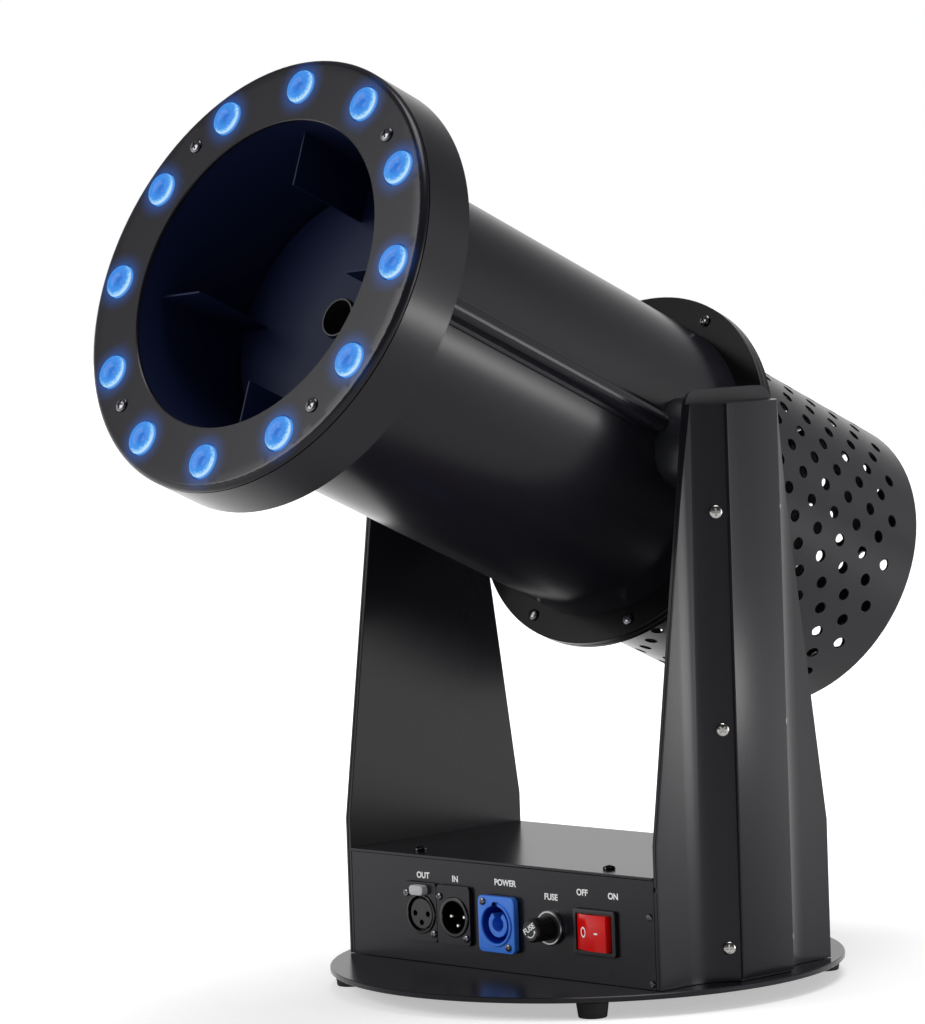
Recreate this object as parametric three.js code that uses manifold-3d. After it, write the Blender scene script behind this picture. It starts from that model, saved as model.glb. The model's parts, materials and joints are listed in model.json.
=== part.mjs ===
// Confetti blower: a fan-fed barrel with a lit muzzle, tilting in a yoke on a connector box and a disc.
// Millimetres, +Z up, the front looks along -Y, the origin is the centre of the base disc's underside.

import * as THREE from 'three';
import { mergeVertices } from 'three/addons/utils/BufferGeometryUtils.js';
import Module from 'manifold-3d';

const wasm = await Module();
wasm.setup();

const degree = Math.PI / 180;

// Clearance between neighbours, and how far a cutting shape passes a face
const gap = 0.3;
const overrun = 2;
const weldDistance = 0.0001;

// Sides of round pieces
const discSides = 64;
const wideSides = 40;
const middleSides = 20;
const smallSides = 12;
const lensSides = 10;
const screwSides = 8;
const bendSteps = 6;
const cornerSteps = 2;

// Base disc and its rubber feet
const discMargin = 7.3;
const discThickness = 3;
const discChamfer = 0.6;
// A shallow ring groove underneath parts the flat seat at the disc's middle from the rim with the feet
const seatShare = 0.6;
const seatGrooveWidth = 3;
const seatGrooveDepth = 0.8;
const footHeight = 8.7;
const footTopRadius = 8.5;
const footBottomRadius = 7.5;
const footInset = 10.8;
const footCount = 4;
const firstFootAngle = 45 * degree;

// Connector box between the arms
const boxHalfDepth = 65.7;
const boxHeight = 58;
const boxSheet = 1.5;
const boxFlange = 18;
const coverLip = 0.6;
const coverScrewSpread = 70.4;
const coverScrewSetback = 11.7;

// Arms: inner plate, flared cover and outer strip
const armSheet = 2;
const armKinkHeight = 74;
const armAboveAxis = 29.1;
const barrelSideGap = 28.5;
const armTopHalfWidth = 32.2;
const armTopRadius = 10;
const armDepth = 18.5;
const stripHalfWidth = 19.8;
const stripThickness = 1.8;
const stripEdge = 0.6;
const stripFootClearance = 1.4;
const coverSheet = 1.2;
const coverBelowTop = 7.4;
const coverBendRadius = 30;
const coverSlope = 45 * degree;
const coverUnderStrip = 0.5;
const armScrewHeightShares = [0.0587, 0.4379, 0.8138];

// Tilt axis and its shafts
const tiltAxisHeight = 276.3;
const tiltRest = 23.46 * degree;
const bossRadius = 24;
const bossEnd = 8.5;
const shoulderRadius = 14;
const tiltShaftRadius = 10;
const cableBoreRadius = 7;
const cableShaftReach = 2.5;
const bearingWall = 5.4;
const bearingFlange = 4.3;
const bearingFlangeThickness = 3;

// Belt drive in the left arm
const toothPitch = 3;
const motorTeeth = 12;
const tiltTeeth = 36;
const toothHeight = 1.2;
const toothShares = [0, 0.3, 0.7];
const pitchToTip = 0.4;
const beltWidth = 6;
const beltThickness = 1.4;
const pulleyFlange = 0.8;
const pulleyFlangeRise = 2.1;
const motorSize = 42;
const motorLength = 38;
const motorCorner = 5;
const motorPilotRadius = 11;
const motorPilotHeight = 1.6;
const motorShaftRadius = 2.5;

// Barrel, measured along its axis from the tilt axis, towards the muzzle
const barrelRadius = 84;
const tubeWall = 1.5;
const muzzleFront = 243.4;
const muzzleDepth = 32.7;
const muzzleRim = 32;
const muzzleWall = 2;
const muzzleEdgeRadius = 3;
const flangeRim = 15.6;
const flangeThickness = 3.5;
const flangeBack = 48.2;
const flangeScrewInset = 7.6;
const flangeScrewCount = 8;
const flangeScrewHole = 2.1;

// Lights in the muzzle
const ledCount = 12;
const ledInset = 15.3;
const firstLedAngle = 1.7 * degree;
const lensRadius = 8.8;
const lensRise = 1.4;
const lensEdge = 0.9;
const lensPlate = 2;
const lensRingGap = 4;
const lensRingInset = 3.6;
const boardThickness = 1.6;
const boardDepth = 9;
const emitterSize = 6;
const emitterHeight = 1.6;
const postRadius = 4;
const ringScrewCount = 4;
const ringScrewInset = 15.6;

// Screws
const screwHeadRadius = 3.4;
const screwHeadHeight = 2.1;
const screwHeadTopShare = 0.62;
const screwShankRadius = 1.6;
const screwBite = 6;
const screwHoleSlack = 0.4;

// Baffle with four vanes inside the muzzle
const baffleFront = 180;
const baffleMargin = 12.5;
const baffleSheet = 1.5;
const vaneFront = 230;
const vaneOverlap = 17;
const vaneSheet = 1.2;
const vaneCount = 4;
const firstVaneAngle = 4.6 * degree;
const nozzleRadius = 10.6;
const nozzleWall = 1.1;
const nozzleFront = 2;
const nozzleLength = 14;

// Fan in the rear of the barrel
const spiderDepth = 7;
const spiderArmWidth = 7;
const motorCupRadius = 33;
const motorCupWall = 2.5;
const fanMotorFront = 14;
const fanMotorLength = 58;
const fanMotorEdge = 3;
const fanShaftRadius = 4;
const fanShaftReach = 24;
const hubRadius = 28;
const hubLength = 20;
const hubEdge = 5;
const bladeCount = 7;
const bladeTipGap = 4.5;
const bladeChord = 25;
const bladeSheet = 1.8;
const bladeAngle = 38 * degree;

// Perforated intake cage behind the flanges
const cageLength = 150.8;
const cageWall = 1.2;
const holeRadius = 3.8;
const holeSides = 6;
const holeColumns = 42;
const holeRowPitch = 19.7;
const holeMarginEven = 32;
const holeMarginOdd = 22.1;
const holeRowsEven = 6;
const holeRowsOdd = 7;
const capHoleRings = 2;
const capHoleRingPitch = 26;
const capHolesPerRing = 6;
const capSheet = 1.5;

// Cable cover on the barrel's side
const ductHalfWidth = 5.6;
const ductLipHalfWidth = 7.6;
const ductLip = 1.1;
const ductRise = 8;
const ductWall = 1;
const ductAngle = 1.6 * degree;

// Places of the connectors on the front panel, from its middle and above the base disc
const connectorHeight = 26.6;
const outSocketPlace = -56.7;
const inSocketPlace = -31.4;
const inletPlace = 1.6;
const inletDrop = 1.1;
const fusePlace = 38.5;
const switchPlace = 71.2;

// Three-pin signal sockets
const socketWidth = 25;
const socketShift = 0.8;
const socketBelow = 15;
const socketAbove = 16.8;
const socketCorner = 2.5;
const socketPlate = 2;
const socketRimRadius = 10.9;
const socketRimRise = 0.8;
const socketBodyRadius = 10.6;
const socketBodyDepth = 22;
const socketCavityRadius = 8.4;
const socketCavityDepth = 12;
const socketGroove = 1.1;
const socketGrooveDepth = 5;
const pinCircleRadius = 4.8;
const pinRadius = 1.2;
const pinTip = 2;
const contactRadius = 1.6;
const contactDepth = 9;
const pinAngles = [180 * degree, 0, -90 * degree];
const latchWidth = 10.5;
const latchHeight = 5.4;
const latchRise = 12.9;
const latchProud = 6;
const latchInside = 9;
const latchBack = 3;

// Locking power inlet
const inletWidth = 26.8;
const inletHeight = 30;
const inletCorner = 3;
const inletPlate = 4.7;
const inletRecessRadius = 10;
const inletRecessDepth = 13;
const inletCoreRadius = 4;
const inletCoreDrop = 1.5;
const inletBodyRadius = 12;
const inletBodyDepth = 20;
const inletKeyWidth = 4;
const inletKeyDepth = 1.6;

// Fuse holder, its bayonet cap and the fuse
const fuseRimRadius = 9.2;
const fuseRimHeight = 2.5;
const fuseBodyRadius = 7;
const fuseBodyDepth = 27;
const fuseBoreRadius = 5.2;
const fuseBoreFloor = 1.5;
const fuseCapRadius = 6.3;
const fuseCapProud = 15.6;
const fuseCapEdge = 1.2;
const fuseSpigotRadius = 4.8;
const fuseSpigotLength = 8;
const fuseRadius = 2.6;
const fuseLength = 20;
const fuseGrip = 5;

// Rocker switch
const bezelWidth = 30;
const bezelHeight = 24.2;
const bezelRise = 2;
const bezelCorner = 1.6;
const switchOpeningWidth = 25.8;
const switchOpeningHeight = 19.4;
const switchBodyWidth = 27.4;
const switchBodyHeight = 22;
const switchBodyDepth = 21;
const switchCavityDepth = 13;
const rockerHalfWidth = 11.4;
const rockerHeight = 18.8;
const rockerTilt = 7 * degree;
const rockerPivotDepth = 6.7;
const rockerRise = 4;
const rockerSkirt = 1.5;
const rockerKeelHalfWidth = 5;
const rockerKeelDepth = 10;
const pivotRadius = 1.2;
const pivotReach = 0.8;

// Electronics on the floor of the box
const supplySize = [96, 46, 30];
const supplyPlace = [-8, 30];
const supplyEdge = 1;
const boardSize = [92, 30];
const boardPlace = [24, -17];
const boardLift = 8;
const standoffRadius = 2.5;
const standoffInset = 4;
const chipSize = [16, 10, 3];
const chipShares = [-0.1, 0.05];
const terminalSize = [22, 7, 8];
const rightTerminalShares = [0.28, -0.3];
const leftTerminalShares = [-0.28, -0.3];

// Sizes and places worked out from the sizes above
const tubeBore = barrelRadius - tubeWall;
const muzzleRadius = barrelRadius + muzzleRim;
const flangeRadius = barrelRadius + flangeRim;
const flangeScrewRadius = flangeRadius - flangeScrewInset;
const ledCircleRadius = muzzleRadius - ledInset;
const ringScrewRadius = muzzleRadius - ringScrewInset;
const lensRingInner = barrelRadius + lensRingGap;
const lensRingOuter = muzzleRadius - lensRingInset;
const baffleRadius = tubeBore - baffleMargin;
const vaneInner = baffleRadius - vaneOverlap;
const bladeRadius = tubeBore - bladeTipGap;
const yokeInnerHalfWidth = barrelRadius + barrelSideGap;
const armHeight = tiltAxisHeight + armAboveAxis;
const coverHeight = armHeight - coverBelowTop;
const boxTop = discThickness + boxHeight;
const boxFloor = discThickness + gap;
const boxHalfWidth = yokeInnerHalfWidth - gap;
const panelTop = boxTop - boxSheet - gap;
const armOuterFace = yokeInnerHalfWidth + armSheet;
const armOuterReach = yokeInnerHalfWidth + armDepth;
const discRadius = armOuterReach + discMargin;
const footCircleRadius = discRadius - footInset;
const armTop = discThickness + armHeight;
const armKink = discThickness + armKinkHeight;
const coverTop = discThickness + coverHeight;
const stripInner = armOuterReach - stripThickness;
const tiltAxis = discThickness + tiltAxisHeight;
const motorAxis = discThickness + boxHeight / 2;
const panelFront = -boxHalfDepth;
const muzzleRear = muzzleFront - muzzleDepth;
const ductStart = bossRadius + gap;
const faceInner = muzzleFront - muzzleWall;
const flangeMiddle = -flangeBack + flangeThickness + gap / 2;
const flangeFront = -flangeBack + 2 * flangeThickness + gap;
const tubeRear = flangeMiddle + gap / 2;
const cageFront = flangeMiddle - gap / 2;
const cageRear = cageFront - cageLength;
const lensFaceBack = faceInner - gap;
const boardFront = faceInner - boardDepth;
const boardBack = boardFront - boardThickness;
const connectorLevel = discThickness + connectorHeight;
const screwHoleRadius = screwShankRadius + screwHoleSlack;
const bearingBore = tiltShaftRadius + gap;
const bearingBody = bearingBore + bearingWall;

// Shape helpers

function solidOf(geometry) {
  const bare = geometry.clone();
  bare.deleteAttribute('normal');
  bare.deleteAttribute('uv');
  const welded = mergeVertices(bare, weldDistance);
  const corners = welded.index.array;
  const kept = [];
  for (let i = 0; i < corners.length; i += 3) {
    const triangle = [corners[i], corners[i + 1], corners[i + 2]];
    if (new Set(triangle).size === 3) {
      kept.push(...triangle);
    }
  }
  return new wasm.Manifold(new wasm.Mesh({
    numProp: 3,
    vertProperties: new Float32Array(welded.attributes.position.array),
    triVerts: new Uint32Array(kept),
  }));
}

function geometryOf(solid) {
  const mesh = solid.getMesh();
  const geometry = new THREE.BufferGeometry();
  geometry.setAttribute('position', new THREE.BufferAttribute(mesh.vertProperties, 3));
  geometry.setIndex(new THREE.BufferAttribute(mesh.triVerts, 1));
  geometry.computeVertexNormals();
  return geometry;
}

function joined(...solids) {
  return solids.reduce((sum, next) => sum.add(next));
}

function cut(solid, ...tools) {
  return tools.reduce((rest, tool) => rest.subtract(tool), solid);
}

// Turns a shape made along its own axis so that the axis points along a row axis
const aims = {
  'x': new THREE.Matrix4().makeRotationZ(-Math.PI / 2),
  '-x': new THREE.Matrix4().makeRotationZ(Math.PI / 2),
  'y': new THREE.Matrix4(),
  '-y': new THREE.Matrix4().makeRotationX(Math.PI),
  'z': new THREE.Matrix4().makeRotationX(Math.PI / 2),
  '-z': new THREE.Matrix4().makeRotationX(-Math.PI / 2),
};

// A closed profile of [radius, distance along the axis], turned about that axis
function turned(profile, sides, aim, start = 0) {
  const points = profile.map(([radius, along]) => new THREE.Vector2(radius, along));
  const geometry = new THREE.LatheGeometry([...points, points[0]], sides, start);
  geometry.applyMatrix4(aims[aim]);
  return geometry;
}

function tubeShape(outer, inner, from, to, sides, aim, start = 0) {
  return turned([[outer, from], [outer, to], [inner, to], [inner, from]], sides, aim, start);
}

function rodShape(radius, from, to, sides, aim) {
  const geometry = new THREE.CylinderGeometry(radius, radius, to - from, sides);
  geometry.translate(0, (from + to) / 2, 0);
  geometry.applyMatrix4(aims[aim]);
  return geometry;
}

function blockShape([x0, x1], [y0, y1], [z0, z1]) {
  const geometry = new THREE.BoxGeometry(x1 - x0, y1 - y0, z1 - z0);
  geometry.translate((x0 + x1) / 2, (y0 + y1) / 2, (z0 + z1) / 2);
  return geometry;
}

// Outlines drawn flat and drawn out along X, towards the front, or upwards
const outlinePlanes = {
  x: [[0, 1, 0], [0, 0, 1], [1, 0, 0]],
  front: [[1, 0, 0], [0, 0, 1], [0, -1, 0]],
  z: [[1, 0, 0], [0, 1, 0], [0, 0, 1]],
};

function shapeThrough(points) {
  return new THREE.Shape(points.map(([u, v]) => new THREE.Vector2(u, v)));
}

function drawnOut(outline, depth, plane, steps = bendSteps) {
  const shape = outline instanceof THREE.Shape ? outline : shapeThrough(outline);
  const geometry = new THREE.ExtrudeGeometry(shape, { depth, bevelEnabled: false, curveSegments: steps });
  const basis = outlinePlanes[plane].map((axis) => new THREE.Vector3(...axis));
  geometry.applyMatrix4(new THREE.Matrix4().makeBasis(...basis));
  return geometry;
}

function roundedOutline([u0, u1], [v0, v1], radius) {
  const shape = new THREE.Shape();
  shape.moveTo(u0 + radius, v0);
  shape.lineTo(u1 - radius, v0);
  shape.absarc(u1 - radius, v0 + radius, radius, -Math.PI / 2, 0);
  shape.lineTo(u1, v1 - radius);
  shape.absarc(u1 - radius, v1 - radius, radius, 0, Math.PI / 2);
  shape.lineTo(u0 + radius, v1);
  shape.absarc(u0 + radius, v1 - radius, radius, Math.PI / 2, Math.PI);
  shape.lineTo(u0, v0 + radius);
  shape.absarc(u0 + radius, v0 + radius, radius, Math.PI, 1.5 * Math.PI);
  return shape;
}

function moved(geometry, x, y, z) {
  geometry.translate(x, y, z);
  return geometry;
}

// The mirror image across the YZ plane, its faces still pointing out
function mirrored(geometry) {
  const image = geometry.clone();
  image.scale(-1, 1, 1);
  const corners = image.index.array;
  for (let i = 0; i < corners.length; i += 3) {
    [corners[i], corners[i + 1]] = [corners[i + 1], corners[i]];
  }
  return image;
}

function turnedAbout(geometry, angle) {
  geometry.rotateZ(angle);
  return geometry;
}

function onCircle(radius, angle) {
  return [radius * Math.cos(angle), radius * Math.sin(angle)];
}

// The assembly and its moving groups
const blower = new THREE.Group();
const head = new THREE.Group();
head.position.z = tiltAxis;
head.rotation.x = Math.PI / 2 - tiltRest;
blower.add(head);

const finishes = {
  blackPaint: [0x232326, 0.45, 0.3],
  blackGloss: [0x17171a, 0.3, 0.3],
  rubber: [0x101010, 0.9, 0],
  steel: [0xb9bcc0, 0.3, 1],
  darkSteel: [0x3a3b3e, 0.4, 0.8],
  blackPlastic: [0x141416, 0.5, 0],
  greyPlastic: [0xbfc0c2, 0.5, 0],
  bluePlastic: [0x2c5fd0, 0.4, 0],
  redPlastic: [0xd01818, 0.35, 0],
  lens: [0x5aa8ff, 0.15, 0],
  board: [0xe8e8e4, 0.6, 0],
  greenBoard: [0x1d5a34, 0.6, 0],
  beltRubber: [0x1b1b1b, 0.85, 0],
  zinc: [0xa9abad, 0.4, 0.9],
  glass: [0xdfe6e8, 0.1, 0],
  bronze: [0x9c7a3c, 0.45, 0.9],
};

function addPiece(parent, name, shape, finish) {
  const geometry = shape.isBufferGeometry ? geometryOf(solidOf(shape)) : geometryOf(shape);
  const [color, roughness, metalness] = finishes[finish];
  const mesh = new THREE.Mesh(geometry, new THREE.MeshStandardMaterial({ color, roughness, metalness }));
  mesh.name = name;
  parent.add(mesh);
  return mesh;
}

// A screw with its seat at the origin and its head towards +Z
function screwShape(shank) {
  const top = screwHeadRadius * screwHeadTopShare;
  const seat = gap;
  const crown = gap + screwHeadHeight;
  return turned([
    [0, -shank],
    [screwShankRadius, -shank],
    [screwShankRadius, seat],
    [screwHeadRadius, seat],
    [top, crown],
    [0, crown],
  ], screwSides, 'z');
}

// Base disc and feet

function makeBaseDisc() {
  const top = discThickness;
  const seatRadius = discRadius * seatShare;
  const grooveEdge = seatRadius + seatGrooveWidth;
  const disc = turned([
    [0, 0],
    [seatRadius, 0],
    [seatRadius, seatGrooveDepth],
    [grooveEdge, seatGrooveDepth],
    [grooveEdge, 0],
    [discRadius, 0],
    [discRadius, top - discChamfer],
    [discRadius - discChamfer, top],
    [0, top],
  ], discSides, 'z');
  addPiece(blower, 'base_disc', disc, 'blackPaint');
}

function makeFeet() {
  for (let k = 0; k < footCount; k += 1) {
    const [x, y] = onCircle(footCircleRadius, firstFootAngle + k * 2 * Math.PI / footCount);
    const foot = turned([
      [0, -footHeight - gap],
      [footBottomRadius, -footHeight - gap],
      [footTopRadius, -gap],
      [0, -gap],
    ], smallSides, 'z');
    const mesh = addPiece(blower, `foot_${k + 1}`, foot, 'rubber');
    mesh.position.set(x, y, 0);
  }
}

// Connector box

function makeBaseTray() {
  const width = [-boxHalfWidth, boxHalfWidth];
  const front = -boxHalfDepth + boxSheet + gap;
  const inner = boxHalfDepth - boxSheet;
  const floor = blockShape(width, [front, boxHalfDepth], [boxFloor, boxFloor + boxSheet]);
  const wall = blockShape(width, [inner, boxHalfDepth], [boxFloor, panelTop]);
  const under = panelTop - boxSheet;
  const flange = blockShape(width, [boxHalfDepth - boxFlange, boxHalfDepth], [under, panelTop]);
  addPiece(blower, 'base_tray', joined(solidOf(floor), solidOf(wall), solidOf(flange)), 'blackPaint');
}

function coverScrewPlaces() {
  return [-coverScrewSpread, coverScrewSpread].map((x) => [x, -boxHalfDepth + coverScrewSetback]);
}

function panelHole(outline, x, z) {
  const tool = drawnOut(outline, boxSheet + 2 * overrun, 'front', cornerSteps);
  return solidOf(moved(tool, x, panelFront + boxSheet + overrun, z));
}

function panelBore(radius, x, z) {
  const tool = rodShape(radius, -boxSheet - overrun, overrun, middleSides, '-y');
  return solidOf(moved(tool, x, panelFront, z));
}

function makeFrontPanel() {
  const width = [-boxHalfWidth, boxHalfWidth];
  const sheet = blockShape(width, [panelFront, panelFront + boxSheet], [boxFloor, panelTop]);
  const flange = blockShape(width, [panelFront, panelFront + boxFlange], [panelTop - boxSheet, panelTop]);
  const latchOutline = roundedOutline(
    [-latchWidth / 2 - 2 * gap, latchWidth / 2 + 2 * gap],
    [0, latchRise + latchHeight / 2 + 2 * gap],
    gap,
  );
  const switchOutline = roundedOutline(
    [-switchBodyWidth / 2 - gap, switchBodyWidth / 2 + gap],
    [-switchBodyHeight / 2 - gap, switchBodyHeight / 2 + gap],
    gap / 2,
  );
  const holes = [
    panelBore(socketBodyRadius + gap, outSocketPlace, connectorLevel),
    panelHole(latchOutline, outSocketPlace, connectorLevel),
    panelBore(socketBodyRadius + gap, inSocketPlace, connectorLevel),
    panelBore(inletBodyRadius + gap, inletPlace, connectorLevel - inletDrop),
    panelBore(fuseBodyRadius + gap, fusePlace, connectorLevel),
    panelHole(switchOutline, switchPlace, connectorLevel),
  ];
  for (const [x, y] of coverScrewPlaces()) {
    const hole = rodShape(screwHoleRadius, -overrun, overrun, screwSides, 'z');
    holes.push(solidOf(moved(hole, x, y, panelTop)));
  }
  addPiece(blower, 'front_panel', cut(joined(solidOf(sheet), solidOf(flange)), ...holes), 'blackPaint');
}

function makeTopCover() {
  const front = -boxHalfDepth - coverLip;
  const width = [-boxHalfWidth, boxHalfWidth];
  let cover = solidOf(blockShape(width, [front, boxHalfDepth], [boxTop - boxSheet, boxTop]));
  for (const [x, y] of coverScrewPlaces()) {
    const hole = rodShape(screwHoleRadius, -overrun, overrun, screwSides, 'z');
    cover = cut(cover, solidOf(moved(hole, x, y, boxTop)));
  }
  addPiece(blower, 'top_cover', cover, 'blackPaint');
  coverScrewPlaces().forEach(([x, y], k) => {
    const mesh = addPiece(blower, `cover_screw_${k + 1}`, screwShape(screwBite), 'blackPlastic');
    mesh.position.set(x, y, boxTop);
  });
}

// Arms

// Outline of an arm seen from the side, drawn in from its edge by inset
function armOutline(inset, top, cornerRadius) {
  const taper = (boxHalfDepth - armTopHalfWidth) / (armTop - armKink);
  const halfAt = (z) => boxHalfDepth - inset - Math.max(0, z - armKink) * taper;
  const foot = boxFloor + inset;
  const shape = new THREE.Shape();
  shape.moveTo(-halfAt(foot), foot);
  shape.lineTo(halfAt(foot), foot);
  shape.lineTo(halfAt(armKink), armKink);
  shape.lineTo(halfAt(top - cornerRadius), top - cornerRadius);
  shape.quadraticCurveTo(halfAt(top), top, halfAt(top) - cornerRadius, top);
  shape.lineTo(-halfAt(top) + cornerRadius, top);
  shape.quadraticCurveTo(-halfAt(top), top, -halfAt(top - cornerRadius), top - cornerRadius);
  shape.lineTo(-halfAt(armKink), armKink);
  return shape;
}

function makeArmPlate(side, name) {
  const outline = armOutline(0, armTop, armTopRadius);
  const plate = moved(drawnOut(outline, armSheet, 'x'), yokeInnerHalfWidth, 0, 0);
  const bearingHole = rodShape(bearingBody + gap, 0, armOuterReach, middleSides, 'x');
  let solid = cut(solidOf(plate), solidOf(moved(bearingHole, 0, 0, tiltAxis)));
  if (side < 0) {
    const pilotHole = rodShape(motorPilotRadius + gap, 0, armOuterReach, middleSides, 'x');
    solid = cut(solid, solidOf(moved(pilotHole, 0, 0, motorAxis)));
  }
  addPiece(blower, name, sided(solid, side), 'blackPaint');
}

// The right arm's shape, or its mirror image for the left arm
function sided(solid, side) {
  const geometry = geometryOf(solid);
  return side > 0 ? geometry : mirrored(geometry);
}

// Half of the cover's section, from the wing at its edge to the flat under the strip
function coverProfile(offset) {
  const wing = armOuterFace + gap + coverSheet - offset;
  const roof = stripInner - gap - offset;
  const roofEdge = stripHalfWidth - coverUnderStrip - offset * Math.tan(coverSlope / 2);
  const bend = coverBendRadius + offset;
  const bendRise = bend * (1 - Math.cos(coverSlope));
  const slopeRise = roof - wing - bendRise;
  const slopeRun = slopeRise / Math.tan(coverSlope);
  const wingEdge = roofEdge + slopeRun + bend * Math.sin(coverSlope);
  const points = [[roof, roofEdge]];
  for (let k = 0; k <= bendSteps; k += 1) {
    const angle = coverSlope * (1 - k / bendSteps);
    points.push([wing + bend * (1 - Math.cos(angle)), wingEdge - bend * Math.sin(angle)]);
  }
  return points;
}

function coverSection(offset, base) {
  const half = coverProfile(offset);
  const [wing] = half[half.length - 1];
  const reach = boxHalfDepth + overrun;
  const left = half.map(([x, y]) => [x, -y]).reverse();
  return [[base, -reach], [wing, -reach], ...left, ...half, [wing, reach], [base, reach]].reverse();
}

function armScrewSeat() {
  const [, bendStart] = coverProfile(0);
  return bendStart;
}

function makeArmCover(side, name) {
  const tall = armTop + overrun;
  const depth = armOuterReach;
  const outerBlock = solidOf(drawnOut(coverSection(0, armOuterFace + gap), tall, 'z'));
  const innerBlock = solidOf(drawnOut(coverSection(coverSheet, armOuterFace - overrun), tall, 'z'));
  const outerTrim = solidOf(drawnOut(armOutline(0, coverTop, gap), depth, 'x'));
  const innerTrim = solidOf(drawnOut(armOutline(coverSheet, coverTop - coverSheet, gap), depth, 'x'));
  let cover = cut(outerBlock.intersect(outerTrim), innerBlock.intersect(innerTrim));
  const [x, y] = armScrewSeat();
  for (const share of armScrewHeightShares) {
    const hole = rodShape(screwHoleRadius, -overrun, overrun, screwSides, 'z');
    cover = cut(cover, solidOf(placeArmScrew(hole, x, y, share * coverHeight)));
  }
  addPiece(blower, name, sided(cover, side), 'blackPaint');
}

// Turns a shape that points along Z to the slope of the right arm's front
function placeArmScrew(geometry, x, y, height) {
  geometry.rotateY(Math.PI / 2);
  geometry.rotateZ(-coverSlope);
  return moved(geometry, x, -y, discThickness + height);
}

function makeArmScrews(side, name) {
  const [x, y] = armScrewSeat();
  armScrewHeightShares.forEach((share, k) => {
    const screw = solidOf(placeArmScrew(screwShape(screwBite), x, y, share * coverHeight));
    addPiece(blower, `${name}_${k + 1}`, sided(screw, side), 'steel');
  });
}

function makeArmStrip(side, name) {
  const outer = armOuterReach;
  const section = [
    [stripInner, -stripHalfWidth],
    [outer - stripEdge, -stripHalfWidth],
    [outer, -stripHalfWidth + stripEdge],
    [outer, stripHalfWidth - stripEdge],
    [outer - stripEdge, stripHalfWidth],
    [stripInner, stripHalfWidth],
  ];
  const foot = discThickness + stripFootClearance;
  const strip = moved(drawnOut(section, coverTop - foot, 'z'), 0, 0, foot);
  addPiece(blower, name, sided(solidOf(strip), side), 'blackPaint');
}

// Bearings and shafts of the tilt axis

function makeBearing(side, name) {
  const flange = bearingBody + bearingFlange;
  const inner = yokeInnerHalfWidth - gap;
  const bearing = turned([
    [bearingBore, inner - bearingFlangeThickness],
    [flange, inner - bearingFlangeThickness],
    [flange, inner],
    [bearingBody, inner],
    [bearingBody, armOuterFace],
    [bearingBore, armOuterFace],
  ], middleSides, 'x');
  addPiece(blower, name, sided(solidOf(moved(bearing, 0, 0, tiltAxis)), side), 'bronze');
}

// The saddle on the barrel's side with its shaft, in the head's own frame
function makeTrunnion(side, name, shaftEnd, boreRadius) {
  const saddle = barrelRadius * Math.cos(Math.asin(bossRadius / barrelRadius)) - overrun;
  const shoulder = yokeInnerHalfWidth - gap - bearingFlangeThickness - gap;
  const bossFace = yokeInnerHalfWidth - bossEnd;
  const body = turned([
    [0, saddle],
    [bossRadius, saddle],
    [bossRadius, bossFace],
    [shoulderRadius, bossFace],
    [shoulderRadius, shoulder],
    [tiltShaftRadius, shoulder],
    [tiltShaftRadius, shaftEnd],
    [0, shaftEnd],
  ], middleSides, 'x');
  const reach = bossRadius + overrun;
  const barrel = rodShape(barrelRadius + gap, -reach, reach, wideSides, 'z');
  let solid = cut(solidOf(body), solidOf(barrel));
  if (boreRadius > 0) {
    solid = cut(solid, solidOf(rodShape(boreRadius, 0, shaftEnd + overrun, smallSides, 'x')));
  }
  addPiece(head, name, sided(solid, side), 'darkSteel');
}

// Belt drive

function beltCentre() {
  return armOuterFace + gap + gap + pulleyFlange + beltWidth / 2;
}

function tipRadius(teeth) {
  return teeth * toothPitch / (2 * Math.PI) - pitchToTip;
}

function makePulley(parent, name, teeth, bore, level) {
  const tip = tipRadius(teeth);
  const root = tip - toothHeight;
  const outline = [];
  for (let k = 0; k < teeth; k += 1) {
    const corners = [[root, toothShares[0]], [tip, toothShares[1]], [tip, toothShares[2]]];
    for (const [radius, share] of corners) {
      outline.push(onCircle(radius, (k + share) * 2 * Math.PI / teeth));
    }
  }
  const half = beltWidth / 2 + gap;
  const middle = beltCentre();
  const wheel = solidOf(moved(drawnOut(outline, 2 * half, 'x'), middle - half, 0, 0));
  const rims = [middle - half - pulleyFlange + gap, middle + half - gap].map((from) => (
    solidOf(rodShape(tip + pulleyFlangeRise, from, from + pulleyFlange, middleSides, 'x'))
  ));
  const hole = solidOf(rodShape(bore + gap, 0, armOuterReach, middleSides, 'x'));
  const pulley = mirrored(geometryOf(cut(joined(wheel, ...rims), hole)));
  const mesh = addPiece(parent, name, pulley, 'zinc');
  mesh.position.z = level;
  return mesh;
}

// Outline round both pulleys at a distance from their tips
function beltOutline(distance) {
  const low = tipRadius(motorTeeth) + distance;
  const high = tipRadius(tiltTeeth) + distance;
  const lean = Math.asin((high - low) / (tiltAxis - motorAxis));
  const points = [];
  const arcSteps = 4 * bendSteps;
  for (let k = 0; k <= arcSteps; k += 1) {
    const [y, z] = onCircle(high, -lean + (Math.PI + 2 * lean) * k / arcSteps);
    points.push([y, tiltAxis + z]);
  }
  for (let k = 0; k <= arcSteps / 2; k += 1) {
    const [y, z] = onCircle(low, Math.PI + lean + (Math.PI - 2 * lean) * 2 * k / arcSteps);
    points.push([y, motorAxis + z]);
  }
  return points;
}

function makeBelt() {
  const edge = beltCentre() - beltWidth / 2;
  const band = moved(drawnOut(beltOutline(gap + beltThickness), beltWidth, 'x'), edge, 0, 0);
  const hollow = moved(drawnOut(beltOutline(gap), beltWidth + 2 * overrun, 'x'), edge - overrun, 0, 0);
  addPiece(blower, 'drive_belt', mirrored(geometryOf(cut(solidOf(band), solidOf(hollow)))), 'beltRubber');
}

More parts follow.
